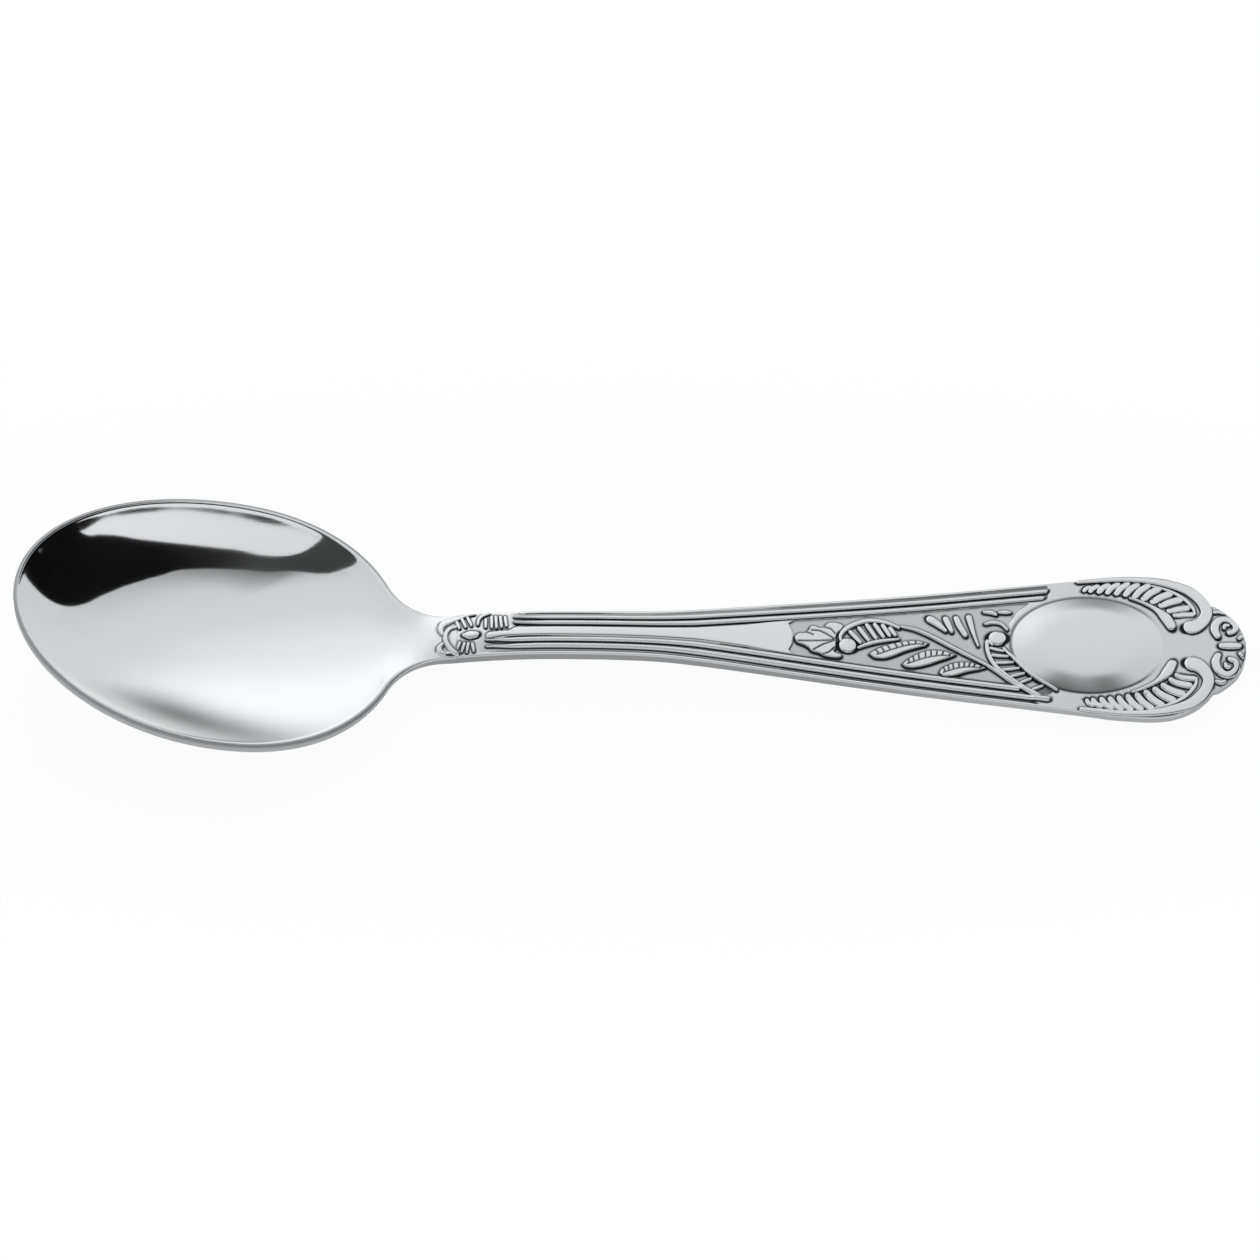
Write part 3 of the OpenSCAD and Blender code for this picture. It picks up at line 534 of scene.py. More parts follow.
# One entry per piece: its CAD node, its lines, how far they rise over the ground and how
# square their sections are
ornaments = {
    "outerThreads": dict(node="outer_threads", lines=threadLines(0), rise=0.34, square=2.2),
    "innerThreads": dict(node="inner_threads", lines=threadLines(1), rise=0.34, square=2.2),
    "neckShell": dict(node="neck_shell", lines=neckLines, rise=0.26, square=2.4),
    "neckFlutes": dict(node="neck_flutes", lines=strokes(farFlutes + nearFlutes, 0.19),
        rise=0.2, square=2.6),
    "neckBoss": dict(node="neck_boss", lines=[neckKnob], rise=0.3, square=2.2),
    "ribbonScroll": dict(node="ribbon_scroll", rise=0.34, square=2.8,
        lines=[disc(94.5, -0.8, 0.98), ribbonTop, ribbonLow] + strokes(ribbonFingers, 0.27)),
    "fernRib": dict(node="fern_rib", lines=[ribLine], rise=0.34, square=2.4),
    "bars": dict(node="bars", lines=barLines, rise=0.32, square=3.0),
    "bow": dict(node="bow", lines=bowLines, rise=0.32, square=2.6),
    "crossingScroll": dict(node="crossing_scroll", rise=0.36, square=2.6,
        lines=[disc(111.6, 0.62, 0.98), crossLeft, crossRight]),
    "crossingRungs": dict(node="crossing_rungs", rise=0.28, square=2.8,
        lines=strokes(rungsBetween(crossLeft[1:], crossRight), 0.2)),
    "shoulderScrolls": dict(node="shoulder_scrolls", rise=0.3, square=3.2,
        lines=bothSides([armLine, innerArm])),
    "shoulderFlutes": dict(node="shoulder_flutes", rise=0.28, square=2.8,
        lines=bothSides(flutesBetween(fluteInner, fluteOuter, 12, 0.38, 0.12))),
    "leafBuds": dict(node="leaf_buds", lines=bothSides([budLine]), rise=0.32, square=2.6),
    "tipShell": dict(node="tip_shell", rise=0.3, square=2.8,
        lines=[tipLines[0]] + bothSides(tipLines[1:])),
}


# A line at an even pitch, with round ends: x, y, half width, share of the full height
def roundedLine(points, pitch=0.12):
    dense = curveAt(points, np.linspace(0, 1, 40 * len(points)))
    run = np.concatenate([[0], np.cumsum(np.hypot(*np.diff(dense[:, :2], axis=0).T))])
    count = max(4, int(run[-1] / pitch))
    even = np.stack([np.interp(np.linspace(0, run[-1], count), run, dense[:, k])
        for k in range(3)], 1)
    even = np.concatenate([even, np.ones((count, 1))], 1)

    def cap(first, second):
        way = (first - second)[:2] / np.hypot(*(first - second)[:2])
        return np.array([[*(first[:2] + way * first[2] * math.sin(a)),
            first[2] * math.cos(a), math.cos(a) ** 0.45]
            for a in np.radians([24, 46, 64, 78, 88])])

    return np.concatenate([cap(even[0], even[1])[::-1], even, cap(even[-1], even[-2])])


ornamentLines = {name: [roundedLine(line) for line in piece["lines"]]
    for name, piece in ornaments.items()}


# A toothed leaf: its outline, its midrib, and short cuts from its upper edge
def fernLeaf(upper, lower, cuts=8):
    top, low = smoothLine(upper, 59), smoothLine(lower, 59)
    middle = (top + low[::-1]) / 2
    lines = [middle[8:56]]
    for u in np.linspace(0.2, 0.92, cuts):
        i = int(u * 59)
        lines.append(np.array([mix(top[i], middle[i], 0.16), mix(top[i], middle[i], 0.82)]))
    return np.concatenate([top, low]), lines


# Raised plates: their outlines, and the grooves cut into them with each one's half width
leaves = [fernLeaf(*leaf) for leaf in fernLeaves]
plates = {
    "leafTip": dict(node="leaf_tip", rise=0.36, outlines=[closedCurve(palmetteOutline)],
        grooves=[(smoothLine(vein, 12), 0.13) for vein in palmetteVeins]),
    "fernLeaves": dict(node="fern_leaves", rise=0.34, outlines=[leaf[0] for leaf in leaves],
        grooves=[(line, 0.1 if len(line) > 2 else 0.15) for leaf in leaves for line in leaf[1]]),
}
print("ornament: lines drawn", len(ornamentLines) + len(plates))


# How far the painted shade reaches from the foot of a raised form, and how deep the foot is cut
footReach, footDepth = 0.32, 0.06


# How strong the painted shade is, by how near a place is to such a foot: 1 at the foot, 0 beyond
# the reach
def footShade(x, y):
    shade = np.zeros(x.shape)

    def darken(where, away):
        shade[where] = np.maximum(shade[where], 1 - ease(away / footReach))

    for line in (line for lines in ornamentLines.values() for line in lines):
        where = boxAround(line, 1.2, x, y)
        if where.any():
            px, py = x[where], y[where]
            best = np.full(px.shape, 9.0)
            coarse = line if len(line) < 80 else line[::3]
            for a, b in zip(coarse[:-1], coarse[1:]):
                away, t = fromLine(a, b, px, py)
                best = np.minimum(best, away - (a[2] + (b[2] - a[2]) * t))
            darken(where, best)
    for outline in (outline for plate in plates.values() for outline in plate["outlines"]):
        where = boxAround(outline, 0.5, x, y)
        if where.any():
            darken(where, distanceTo(outline[::2], x[where], y[where]))
    return shade


# Groove round the boss, which fades where the boss runs into the flat at its far end
def bossGroove(x, y):
    off = np.abs(bossShare(x, y) - 1) * boss["half"]
    return (1 - ease(off / boss["grooveHalf"])) * (1 - ease((x - boss["x"] - 5.5) / 3))


# The cut round the end of the stem's plain middle, which fades along the stem
def stemGroove(x, y):
    away = np.full(x.shape, 1.0)
    where = boxAround(stemCut, 0.3, x, y)
    if where.any():
        away[where] = distanceToLine(stemCut, x[where], y[where]) / cutHalf
    return (1 - ease(away)) * (1 - ease((x - 57) / 2))


# Meshes

def toFrame(points):
    return (np.asarray(points, float) - [spoonLength / 2, 0, 0]) / 1000


def makeObject(name, data):
    made = bpy.data.objects.new(name, data)
    bpy.context.scene.collection.objects.link(made)
    return made


def writeAttribute(mesh, key, values):
    mesh.attributes.new(key, "FLOAT", "POINT").data.foreach_set("value",
        np.ascontiguousarray(values, np.float32).ravel())


# Quads between closed rings
def ringQuads(rows, columns):
    row, k = np.arange(rows - 1)[:, None] * columns, np.arange(columns)
    a, b = row + k, row + (k + 1) % columns
    return np.stack([a, b, b + columns, a + columns], 2).reshape(-1, 4).tolist()


# Closed rings bridged by quads, with its first and last rings closed. Ghost rings lie
# beyond a cut, and only make its normals run on into the next piece
def skinPiece(name, rings, shades, ghosts=(0, 0), closeStart=True, closeEnd=True):
    rows, columns = rings.shape[:2]
    points = toFrame(rings).reshape(-1, 3)
    trial = bpy.data.meshes.new(name + "Trial")
    trial.from_pydata(points.tolist(), [], ringQuads(rows, columns))
    normals = np.zeros(points.size, np.float32)
    trial.vertex_normals.foreach_get("vector", normals)
    bpy.data.meshes.remove(trial)
    rows -= sum(ghosts)
    keep = slice(ghosts[0] * columns, (ghosts[0] + rows) * columns)
    faces = ringQuads(rows, columns)
    if closeStart:
        faces.append(list(range(columns))[::-1])
    if closeEnd:
        faces.append([(rows - 1) * columns + k for k in range(columns)])
    mesh = bpy.data.meshes.new(name)
    mesh.from_pydata(points[keep].tolist(), [], faces)
    for k, key in enumerate(("paintedShade", "satin")):
        writeAttribute(mesh, key, shades[..., k].reshape(-1)[keep])
    way = mesh.attributes.new("smoothWay", "FLOAT_VECTOR", "POINT")
    way.data.foreach_set("vector", normals.reshape(-1, 3)[keep].ravel())
    return makeObject(name, mesh)


# Joins points that lie on each other, or else shades by the normals made with the ghosts
def finishPiece(piece, weld=False):
    mesh = piece.data
    if weld:
        work = bmesh.new()
        work.from_mesh(mesh)
        bmesh.ops.remove_doubles(work, verts=work.verts, dist=2e-6)
        bmesh.ops.dissolve_degenerate(work, dist=1e-7, edges=work.edges)
        bmesh.ops.recalc_face_normals(work, faces=work.faces)
        work.to_mesh(mesh)
        work.free()
    mesh.polygons.foreach_set("use_smooth", [True] * len(mesh.polygons))
    if not weld:
        way = np.zeros(len(mesh.vertices) * 3, np.float32)
        mesh.attributes["smoothWay"].data.foreach_get("vector", way)
        mesh.normals_split_custom_set_from_vertices(way.reshape(-1, 3).tolist())
    mesh.attributes.remove(mesh.attributes["smoothWay"])
    mesh.update()
    return piece


# A ring's parts in order: the top from its near to its far edge, the far edge downwards,
# the underside back, and the near edge as the far one's mirror image
def joinParts(top, far, under, flip=(1, 1)):
    return np.concatenate([top, far, under, far[:, ::-1] * flip], 1)


# Radii of the handle's edges, rows down its side, and the strength of the painted shade
# on its side
edges = dict(top=0.22, low=0.35, sideRows=4, edgeShade=0.28)
arcSteps = np.radians([18, 36, 54, 72, 90])
# In a far edge's columns: 0 on the top's round, 1 on the side and under it
onSide = np.repeat([0.0, 1.0], [len(arcSteps) - 1, 1 + edges["sideRows"] + len(arcSteps)])


# The cuts in the handle's top, how dark it is with painted shade, and how satin it is
def topFinish(x, y):
    foot, border, cut = footShade(x, y), bossGroove(x, y), stemGroove(x, y)
    sunk = np.clip(groundSink(x, y) / ground["field"], 0, 1)
    besideThreads = 1 - ease((half(x) - np.abs(y) - threadsInside(x)) / 0.15)
    # Painted shade in the channel beside the threads, on the sunk field's walls, in the grooves
    # and at the feet
    channel = sunk * besideThreads * (x < 118)
    wall = 4 * sunk * (1 - sunk)
    paintedShade = np.maximum.reduce([foot, 0.9 * cut, 0.6 * channel, 0.8 * border, 0.35 * wall])
    satin = np.maximum(0.75 * sunk * (x > 87), 0.45 * ease((x - 112) / 8))
    depth = boss["grooveDepth"] * border + footDepth * foot + cutDepth * cut
    return depth, np.stack([paintedShade, satin], 2)


# Cross-sections of the handle at places x, drawn in by a shrink at each
def handleRings(x, across, under, shrink=0.0):
    x = np.asarray(x, float)[:, None]
    shrink = np.broadcast_to(shrink, len(x))[:, None]
    width = half(x) - shrink
    high, low = np.minimum(edges["top"], 0.4 * width), np.minimum(edges["low"], 0.4 * width)
    topY = np.linspace(-1, 1, across + 1) * (width - high)
    topX = np.broadcast_to(x, topY.shape)
    depth, topShades = topFinish(topX, topY)
    sideTop = topZ(x, width - high) - shrink - high
    sideLow = np.minimum(edgeZ(x) - side(x) + shrink * 0.5 + low, sideTop - 0.02)
    down = np.arange(1, edges["sideRows"] + 1) / edges["sideRows"]
    farY = np.concatenate([width - high + high * np.sin(arcSteps),
        np.repeat(width, edges["sideRows"], 1), width - low + low * np.cos(arcSteps)], 1)
    farZ = np.concatenate([sideTop + high * np.cos(arcSteps), mix(sideTop, sideLow, down),
        sideLow - low * np.sin(arcSteps)], 1)

    def plainUnder(y):
        return bottomZ(x, y * half(x) / np.maximum(width, 0.05)) + shrink

    u = np.linspace(1, -1, under + 1)[None, 1:-1]
    lowY = u * (width - low)
    lowZ = plainUnder(lowY) + (farZ[:, -1:] - plainUnder(width - low)) * np.abs(u) ** 6

    def part(y, z):
        return np.stack([np.broadcast_to(x, y.shape), y, z], 2)

    rings = joinParts(part(topY, topSurface(x, topY) - shrink - depth), part(farY, farZ),
        part(lowY, lowZ), (1, -1, 1))
    # The painted shade on the side fades towards the handle's wide end
    edgeShade = edges["edgeShade"] * (1 - ease((x - 90) / 25))
    sideShades = np.stack([edgeShade * onSide, np.broadcast_to(onSide, farY.shape)], 2)
    return rings, joinParts(topShades, sideShades, np.zeros((*lowY.shape, 2)))


# The bowl's rim: the radii of its upper and lower edge, the insets of the rows on its flat,
# how much lower its side reaches round the front, and the painted shade on its round
rim = dict(top=0.44, low=0.16, flatInsets=(0.56, 0.5), sideDrop=0.3,
    edgeShade=[0.1, 0.16, 0.2, 0.18, 0.14, 0.06])


# The bowl's outline in plan, drawn in by an inset: steps over its front, rear, fillet and neck
def bowlOutline(inset, steps=(84, 84, 34, 5)):
    bend = np.linspace(0, math.pi / 2, steps[0] + 1)
    front = np.stack([bowlFront - (bowlFront - inset) * np.cos(bend),
        (halfWidth - inset) * np.sin(bend)], 1)
    join = math.asin(math.sqrt(rearJoin))
    u = np.sin(join * np.arange(1, steps[1] + 1) / steps[1]) ** (2 / bowl["rearPower"])
    rear = np.stack([bowlFront + (bowlRear - inset) * u, rearHalf(inset, u)], 1)
    turn = joinAngle(inset) * (1 - np.arange(1, steps[2] + 1) / steps[2])
    fillet = np.stack([filletEnd(inset) - filletRadius(inset) * np.sin(turn),
        stemHalf - inset + filletRadius(inset) * (1 - np.cos(turn))], 1)
    along = np.linspace(filletEnd(inset), bowlEnd, steps[3] + 1)[1:]
    neck = np.stack([along, np.full(len(along), stemHalf - inset)], 1)
    return np.concatenate([front, rear, fillet, neck])


# The hollow's height with a soft rim, also for places that lie beyond it on the rim
def bowlTop(x, y, beyond=0.0):
    plain = topZ(x, y)
    over = np.maximum(np.abs(y) - topHalf(x), 0)
    gap = np.where(over > 0, -0.9 * np.minimum(over, beyond), edgeZ(x) - plain)
    soft = (gap + np.sqrt(gap ** 2 + 0.14 ** 2)) / 2 - np.maximum(gap, 0)
    return plain - soft * (1 - pastFillet(x))


# Rings round the bowl, each from a place on its outline to the mirrored one
def bowlRings(across=72, under=56):
    inner, (outX, outY) = bowlOutline(bowl["rimWidth"]), bowlOutline(0).T
    t = np.sin(np.linspace(-1, 1, across + 1) * math.pi / 2 * 0.86)
    topY = t / t.max() * inner[:, 1:]
    topX = np.broadcast_to(inner[:, :1], topY.shape)
    top = np.stack([topX, topY, bowlTop(topX, topY)], 2)

    # On the tip's own row the rim still counts as beyond the hollow
    def rimHeight(x, y, beyond):
        return bowlTop(x, np.maximum(y, 0.7), beyond)

    toHandle = ease((outX - 38) / (bowlEnd - 38))
    high, low = (mix(rim[key], edges[key], toHandle) for key in ("top", "low"))
    rimTop = rimHeight(outX, outY, bowl["rimWidth"])
    sideLow = edgeZ(outX) - side(outX) - rim["sideDrop"] * (1 - ease((outX - 34) / 10)) + low

    def insetRow(share, key, z):
        line = mix(bowlOutline(rim[key] * share), bowlOutline(edges[key] * share),
            toHandle[:, None])
        return np.column_stack([line, z])

    far = []
    for inset in rim["flatInsets"]:
        line = bowlOutline(inset)
        far.append(np.column_stack([line, rimHeight(*line.T, bowl["rimWidth"] - inset)]))
    for a in np.radians([0, 14, 28, 42, 56, 70, 80, 90]):
        far.append(insetRow(1 - math.sin(a), "top", rimTop - high * (1 - math.cos(a))))
    for down in np.arange(1, edges["sideRows"] + 1) / edges["sideRows"]:
        far.append(np.column_stack([outX, outY, mix(rimTop - high, sideLow, down)]))
    for a in arcSteps:
        sag = low * math.sin(a) - 0.3 * low * (1 - math.cos(a)) * (1 - toHandle)
        far.append(insetRow(1 - math.cos(a), "low", sideLow - sag))
    far = np.stack(far, 1)

    lastX, lastY, lastZ = (far[:, -1, k][:, None] for k in range(3))
    u = np.linspace(1, -1, under + 1)[None, 1:-1]
    lowX, lowY = np.broadcast_to(lastX, (len(far), under - 1)), u * lastY
    lowZ = bottomZ(lowX, lowY) + (lastZ - bottomZ(lastX, lastY)) * np.abs(u) ** 8
    rings = joinParts(top, far, np.stack([lowX, lowY, lowZ], 2), (1, -1, 1))

    # The neck ornament's painted shade darkens the hollow's end, but not the rim beside it
    inwards = ease((1 - np.abs(topY) / np.maximum(inner[:, 1:], 0.1)) / 0.2)
    paintedShade = np.where(topX > 46.5, footShade(topX, topY), 0) * inwards
    onHandle = np.concatenate([np.zeros(far.shape[1] - len(onSide)), onSide])
    onRim, rimShade = np.ones(far.shape[1]), np.zeros(far.shape[1])
    onRim[:3] = [0, 0, 0.6]
    rimShade[3:9] = rim["edgeShade"]
    satin = mix(onRim, onHandle, toHandle[:, None])
    edgeShade = mix(rimShade, edges["edgeShade"] * onHandle, toHandle[:, None])
    return rings, joinParts(np.stack([paintedShade, np.zeros(paintedShade.shape)], 2),
        np.stack([edgeShade, satin], 2), np.zeros((*lowY.shape, 2)))


# Places at an even step, with one more before the first and one past the last
def ghostEnds(low, high, step):
    inside = np.linspace(low, high, int(round((high - low) / step)) + 1)
    return np.concatenate([[low - step], inside, [high + step]])


spoonBowl = finishPiece(skinPiece("spoonBowl", *bowlRings(), closeStart=False), weld=True)
print("bowl: made", len(spoonBowl.data.polygons))

# Where each piece of the handle starts and ends, its ring step, its columns over and under
handlePieces = {
    "spoonStem": dict(node="stem", start=bowlEnd, end=panelStart, step=0.1, over=80, under=24),
    "spoonPanel": dict(node="panel", start=panelStart, end=terminalStart, step=0.13, over=118,
        under=28),
    "spoonTerminal": dict(node="terminal", start=terminalStart, end=spoonLength, step=0.13,
        over=150, under=32, endRound=0.35)}


def handlePiece(name, start, end, step, over, under, endRound=0.0, node=None):
    x = ghostEnds(start, end - endRound, step)
    if endRound == 0:
        return finishPiece(skinPiece(name, *handleRings(x, over, under), (1, 1)))
    turn = np.radians(np.linspace(0, 90, 9))[1:]
    x = np.concatenate([x[:-1], end - endRound + endRound * np.sin(turn)])
    shrink = np.concatenate([np.zeros(len(x) - len(turn)), endRound * (1 - np.cos(turn))])
    rings, shades = handleRings(x, over, under, shrink)
    # The very end is satin all round and takes no painted shade
    shades[-6:] = [0, 1]
    return finishPiece(skinPiece(name, rings, shades, (1, 0)))


skins = [(spoonBowl, "bowl")] + [(handlePiece(name, **piece), piece["node"])
    for name, piece in handlePieces.items()]
print("handle: made", [len(skin.data.polygons) for skin, node in skins[1:]])


# A Geometry Nodes tree that sweeps a rounded section along lines

def addNode(tree, kind, settings=None, values=None, links=None):
    node = tree.nodes.new(kind)
    for key, value in (settings or {}).items():
        setattr(node, key, value)
    for key, value in (values or {}).items():
        node.inputs[key].default_value = value
    for key, source in (links or {}).items():
        tree.links.new(source, node.inputs[key])
    return node


def sweepTree():
    tree = bpy.data.node_groups.new("sweptRidge", "GeometryNodeTree")
    for name, kind, way in (("Lines", "Geometry", "INPUT"), ("Squareness", "Float", "INPUT"),
            ("Section points", "Int", "INPUT"), ("Steel", "Material", "INPUT"),
            ("Ridges", "Geometry", "OUTPUT")):
        tree.interface.new_socket(name, in_out=way, socket_type="NodeSocket" + kind)
    given = addNode(tree, "NodeGroupInput").outputs
    width = addNode(tree, "GeometryNodeInputNamedAttribute", {"data_type": "FLOAT"},
        {"Name": "halfWidth"})
    curve = addNode(tree, "GeometryNodeMeshToCurve", links={"Mesh": given["Lines"]})
    flat = addNode(tree, "GeometryNodeSetCurveNormal", {"mode": "Z_UP"},
        links={"Curve": curve.outputs[0]})
    circle = addNode(tree, "GeometryNodeCurvePrimitiveCircle", {"mode": "RADIUS"},
        {"Radius": 1.0}, {"Resolution": given["Section points"]})
    # The circle's points move out to a squarer section, each along its own axes
    place = addNode(tree, "GeometryNodeInputPosition")
    parts = addNode(tree, "ShaderNodeSeparateXYZ", links={0: place.outputs[0]})
    power = addNode(tree, "ShaderNodeMath", {"operation": "DIVIDE"}, {0: 2.0},
        {1: given["Squareness"]})
    shares = []
    for axis in ("X", "Y"):
        size, sign = (addNode(tree, "ShaderNodeMath", {"operation": operation},
            links={0: parts.outputs[axis]}) for operation in ("ABSOLUTE", "SIGN"))
        bent = addNode(tree, "ShaderNodeMath", {"operation": "POWER"},
            links={0: size.outputs[0], 1: power.outputs[0]})
        shares.append(addNode(tree, "ShaderNodeMath", {"operation": "MULTIPLY"},
            links={0: bent.outputs[0], 1: sign.outputs[0]}).outputs[0])
    section = addNode(tree, "ShaderNodeCombineXYZ", links={"X": shares[0], "Y": shares[1]})
    shaped = addNode(tree, "GeometryNodeSetPosition",
        links={"Geometry": circle.outputs[0], "Position": section.outputs[0]})
    marked = addNode(tree, "GeometryNodeStoreNamedAttribute",
        {"data_type": "FLOAT", "domain": "POINT"}, {"Name": "shareUp"},
        {"Geometry": shaped.outputs[0], "Value": shares[1]})
    sweep = addNode(tree, "GeometryNodeCurveToMesh", values={"Fill Caps": True},
        links={"Curve": flat.outputs[0], "Profile Curve": marked.outputs[0],
            "Scale": width.outputs[0]})
    shade = addNode(tree, "GeometryNodeSetShadeSmooth", links={"Geometry": sweep.outputs[0]})
    real = addNode(tree, "GeometryNodeRealizeInstances", links={"Geometry": shade.outputs[0]})
    steel = addNode(tree, "GeometryNodeSetMaterial",
        links={"Geometry": real.outputs[0], "Material": given["Steel"]})
    addNode(tree, "NodeGroupOutput", links={0: steel.outputs[0]})
    return tree


# Materials

# One sRGB value turned to linear light
def linear(code):
    value = [int(code[i:i + 2], 16) / 255 for i in (0, 2, 4)]
    return [v / 12.92 if v <= 0.04045 else ((v + 0.055) / 1.055) ** 2.4 for v in value] + [1.0]


def emptyTree(owner):
    owner.use_nodes = True
    owner.node_tree.nodes.clear()
    return owner.node_tree


# Stainless steel: its polish, its brush marks, and painted shade: a dark colour laid in its
# grooves, at the feet of raised forms and on its sides
def steelMaterial(name, bright, satinAndShadeTone, dark, roughness, scratch, markApart=0.2):
    made = bpy.data.materials.new(name)
    tree = emptyTree(made)
    perMetre = 1000 / markApart
    place = addNode(tree, "ShaderNodeTexCoord").outputs["Object"]
    paintedShade, satin = (addNode(tree, "ShaderNodeAttribute", {"attribute_name": key}).outputs["Fac"]
        for key in ("paintedShade", "satin"))
    # Satin places take a darker tone: partly the satin finish, partly painted shade, as on the
    # sides of the handle and rim
    metal = addNode(tree, "ShaderNodeMix", {"data_type": "RGBA"},
        {6: linear(bright), 7: linear(satinAndShadeTone)}, {"Factor": satin})
    # Painted shade: the dark colour mixed in where paintedShade is high
    colour = addNode(tree, "ShaderNodeMix", {"data_type": "RGBA"}, {7: linear(dark)},
        {"Factor": paintedShade, 6: metal.outputs[2]})
    # Fine brush marks along the spoon, a fraction of a millimetre apart
    stretch = addNode(tree, "ShaderNodeMapping",
        values={"Scale": (0.07 * perMetre, perMetre, perMetre)}, links={"Vector": place})
    marks = addNode(tree, "ShaderNodeTexNoise", values={"Scale": 1.0, "Detail": 3.0,
        "Roughness": 0.6}, links={"Vector": stretch.outputs[0]})
    bump = addNode(tree, "ShaderNodeBump", values={"Strength": scratch, "Distance": 0.00002},
        links={"Height": marks.outputs[0]})
    plain = addNode(tree, "ShaderNodeMapRange", values={"To Min": roughness * 0.9,
        "To Max": roughness * 1.15}, links={"Value": marks.outputs[0]})
    rough = addNode(tree, "ShaderNodeMix", {"data_type": "FLOAT"}, {"B": 0.62},
        {"Factor": satin, "A": plain.outputs[0]})
    shader = addNode(tree, "ShaderNodeBsdfPrincipled", values={"Metallic": 1.0},
        links={"Base Color": colour.outputs[2], "Roughness": rough.outputs[0],
            "Normal": bump.outputs[0]})
    addNode(tree, "ShaderNodeOutputMaterial", links={0: shader.outputs[0]})
    return made


# Mirror-like polish of the bowl, stem and boss, with a satin ground and satin cut edges; its
# dark colour is painted shade
polishedSteel = steelMaterial("polishedStainlessSteel", bright="E8E9EA", satinAndShadeTone="C2C3C5",
    dark="222325", roughness=0.06, scratch=0.03)
# Slightly softer shine of the struck forms, with painted shade at their feet in the dark colour
struckSteel = steelMaterial("struckStainlessSteel", bright="E4E5E6", satinAndShadeTone="BABBBD",
    dark="161719", roughness=0.16, scratch=0.06)
ridgeTree = sweepTree()
print("materials and the sweep tree: made")


# Lines as a mesh of edges, with what the sweep and the seating need at each point
def lineMesh(name):
    verts, joins, widths, shares, lifts = [], [], [], [], []
    for line in ornamentLines[name]:
        start = len(verts)
        verts += [[x, y, 0] for x, y in line[:, :2]]
        joins += [(start + i, start + i + 1) for i in range(len(line) - 1)]
        widths += list(line[:, 2] / 1000)
        shares += list(line[:, 3])
        # The ground's depth along the line, evened out over five points
        sinks = np.pad(groundSink(line[:, 0], line[:, 1]), 2, "edge")
        lifts += list(-np.convolve(sinks, np.ones(5) / 5, "valid"))
    mesh = bpy.data.meshes.new(name + "Lines")
    mesh.from_pydata(toFrame(verts).tolist(), joins, [])
    for key, values in (("halfWidth", widths), ("riseShare", shares), ("lift", lifts)):
        writeAttribute(mesh, key, values)
    return mesh


# A line mesh swept by the tree, then seated on the ground
def ornamentPiece(name, rise, square, sectionPoints=18):
    source = makeObject(name + "Lines", lineMesh(name))
    modifier = source.modifiers.new("sweep", "NODES")
    modifier.node_group = ridgeTree
    sockets = {item.name: item.identifier for item in ridgeTree.interface.items_tree
        if item.in_out == "INPUT"}
    modifier[sockets["Squareness"]] = square
    modifier[sockets["Section points"]] = sectionPoints
    modifier[sockets["Steel"]] = struckSteel
    graph = bpy.context.evaluated_depsgraph_get()
    swept = bpy.data.meshes.new_from_object(source.evaluated_get(graph),
        preserve_all_data_layers=True, depsgraph=graph)
    bpy.data.objects.remove(source)
    swept.name = name
    count = len(swept.vertices)
    place = np.zeros(count * 3, np.float32)
    swept.vertices.foreach_get("co", place)
    place = place.reshape(-1, 3).astype(float)
    read = {key: np.zeros(count, np.float32) for key in ("shareUp", "riseShare", "lift")}
    for key, values in read.items():
        swept.attributes[key].data.foreach_get("value", values)
    x, y = place[:, 0] * 1000 + spoonLength / 2, place[:, 1] * 1000
    up = read["shareUp"] * read["riseShare"]
    height = np.where(up > 0, up * rise, up * 0.12)
    place[:, 2] = (topZ(x, y) + read["lift"] + height) / 1000
    swept.vertices.foreach_set("co", place.ravel())
    # Painted shade on the lower part of each ridge's section
    writeAttribute(swept, "paintedShade", (1 - ease((read["shareUp"] - 0.05) / 0.6)) * 0.8)
    for key in (*read, "halfWidth"):
        if key in swept.attributes:
            swept.attributes.remove(swept.attributes[key])
    swept.update()
    return makeObject(name, swept)


# Oval boss: rows across, a steep foot, painted shade for the groove round it, and a soft crown
def bossPiece():
    u = np.linspace(-math.pi / 2, math.pi / 2, boss["rows"] + 1)[:, None]
    t = np.sin(np.linspace(-math.pi / 2, math.pi / 2, boss["across"] + 1))
    y = boss["half"] * np.cos(u) * t
    x = np.broadcast_to(boss["x"] + np.where(u < 0, boss["back"], boss["front"]) * np.sin(u),
        y.shape)
    share = np.clip(bossShare(x, y), 0, 1)
    # The crown falls gently at first and steeply from half way out
    run = np.linspace(0, 1, 400)
    slope = boss["gentle"] * run + boss["steep"] * ease((run - 0.5) / 0.3)
    drop = np.concatenate([[0], np.cumsum((slope[1:] + slope[:-1]) / 2) * boss["half"] / 399])
    height = drop[-1] - np.interp(share, run, drop)
    top = np.stack([x, y, topZ(x, y) - 0.05 + height], 2)
    base = np.stack([x, y, topZ(x, y) - 0.2 - 0.1 * (1 - share)], 2)
    dark = 0.75 * ease((share - 0.965) / 0.035) * (1 - ease((x - 127.5) / 3))
    paintedShade = np.concatenate([dark, np.zeros(share.shape)], 1)
    piece = skinPiece("ovalBoss", np.concatenate([top, base[:, ::-1]], 1),
        np.stack([paintedShade, np.full(paintedShade.shape, 0.2)], 2), closeStart=False, closeEnd=False)
    return finishPiece(piece, weld=True)


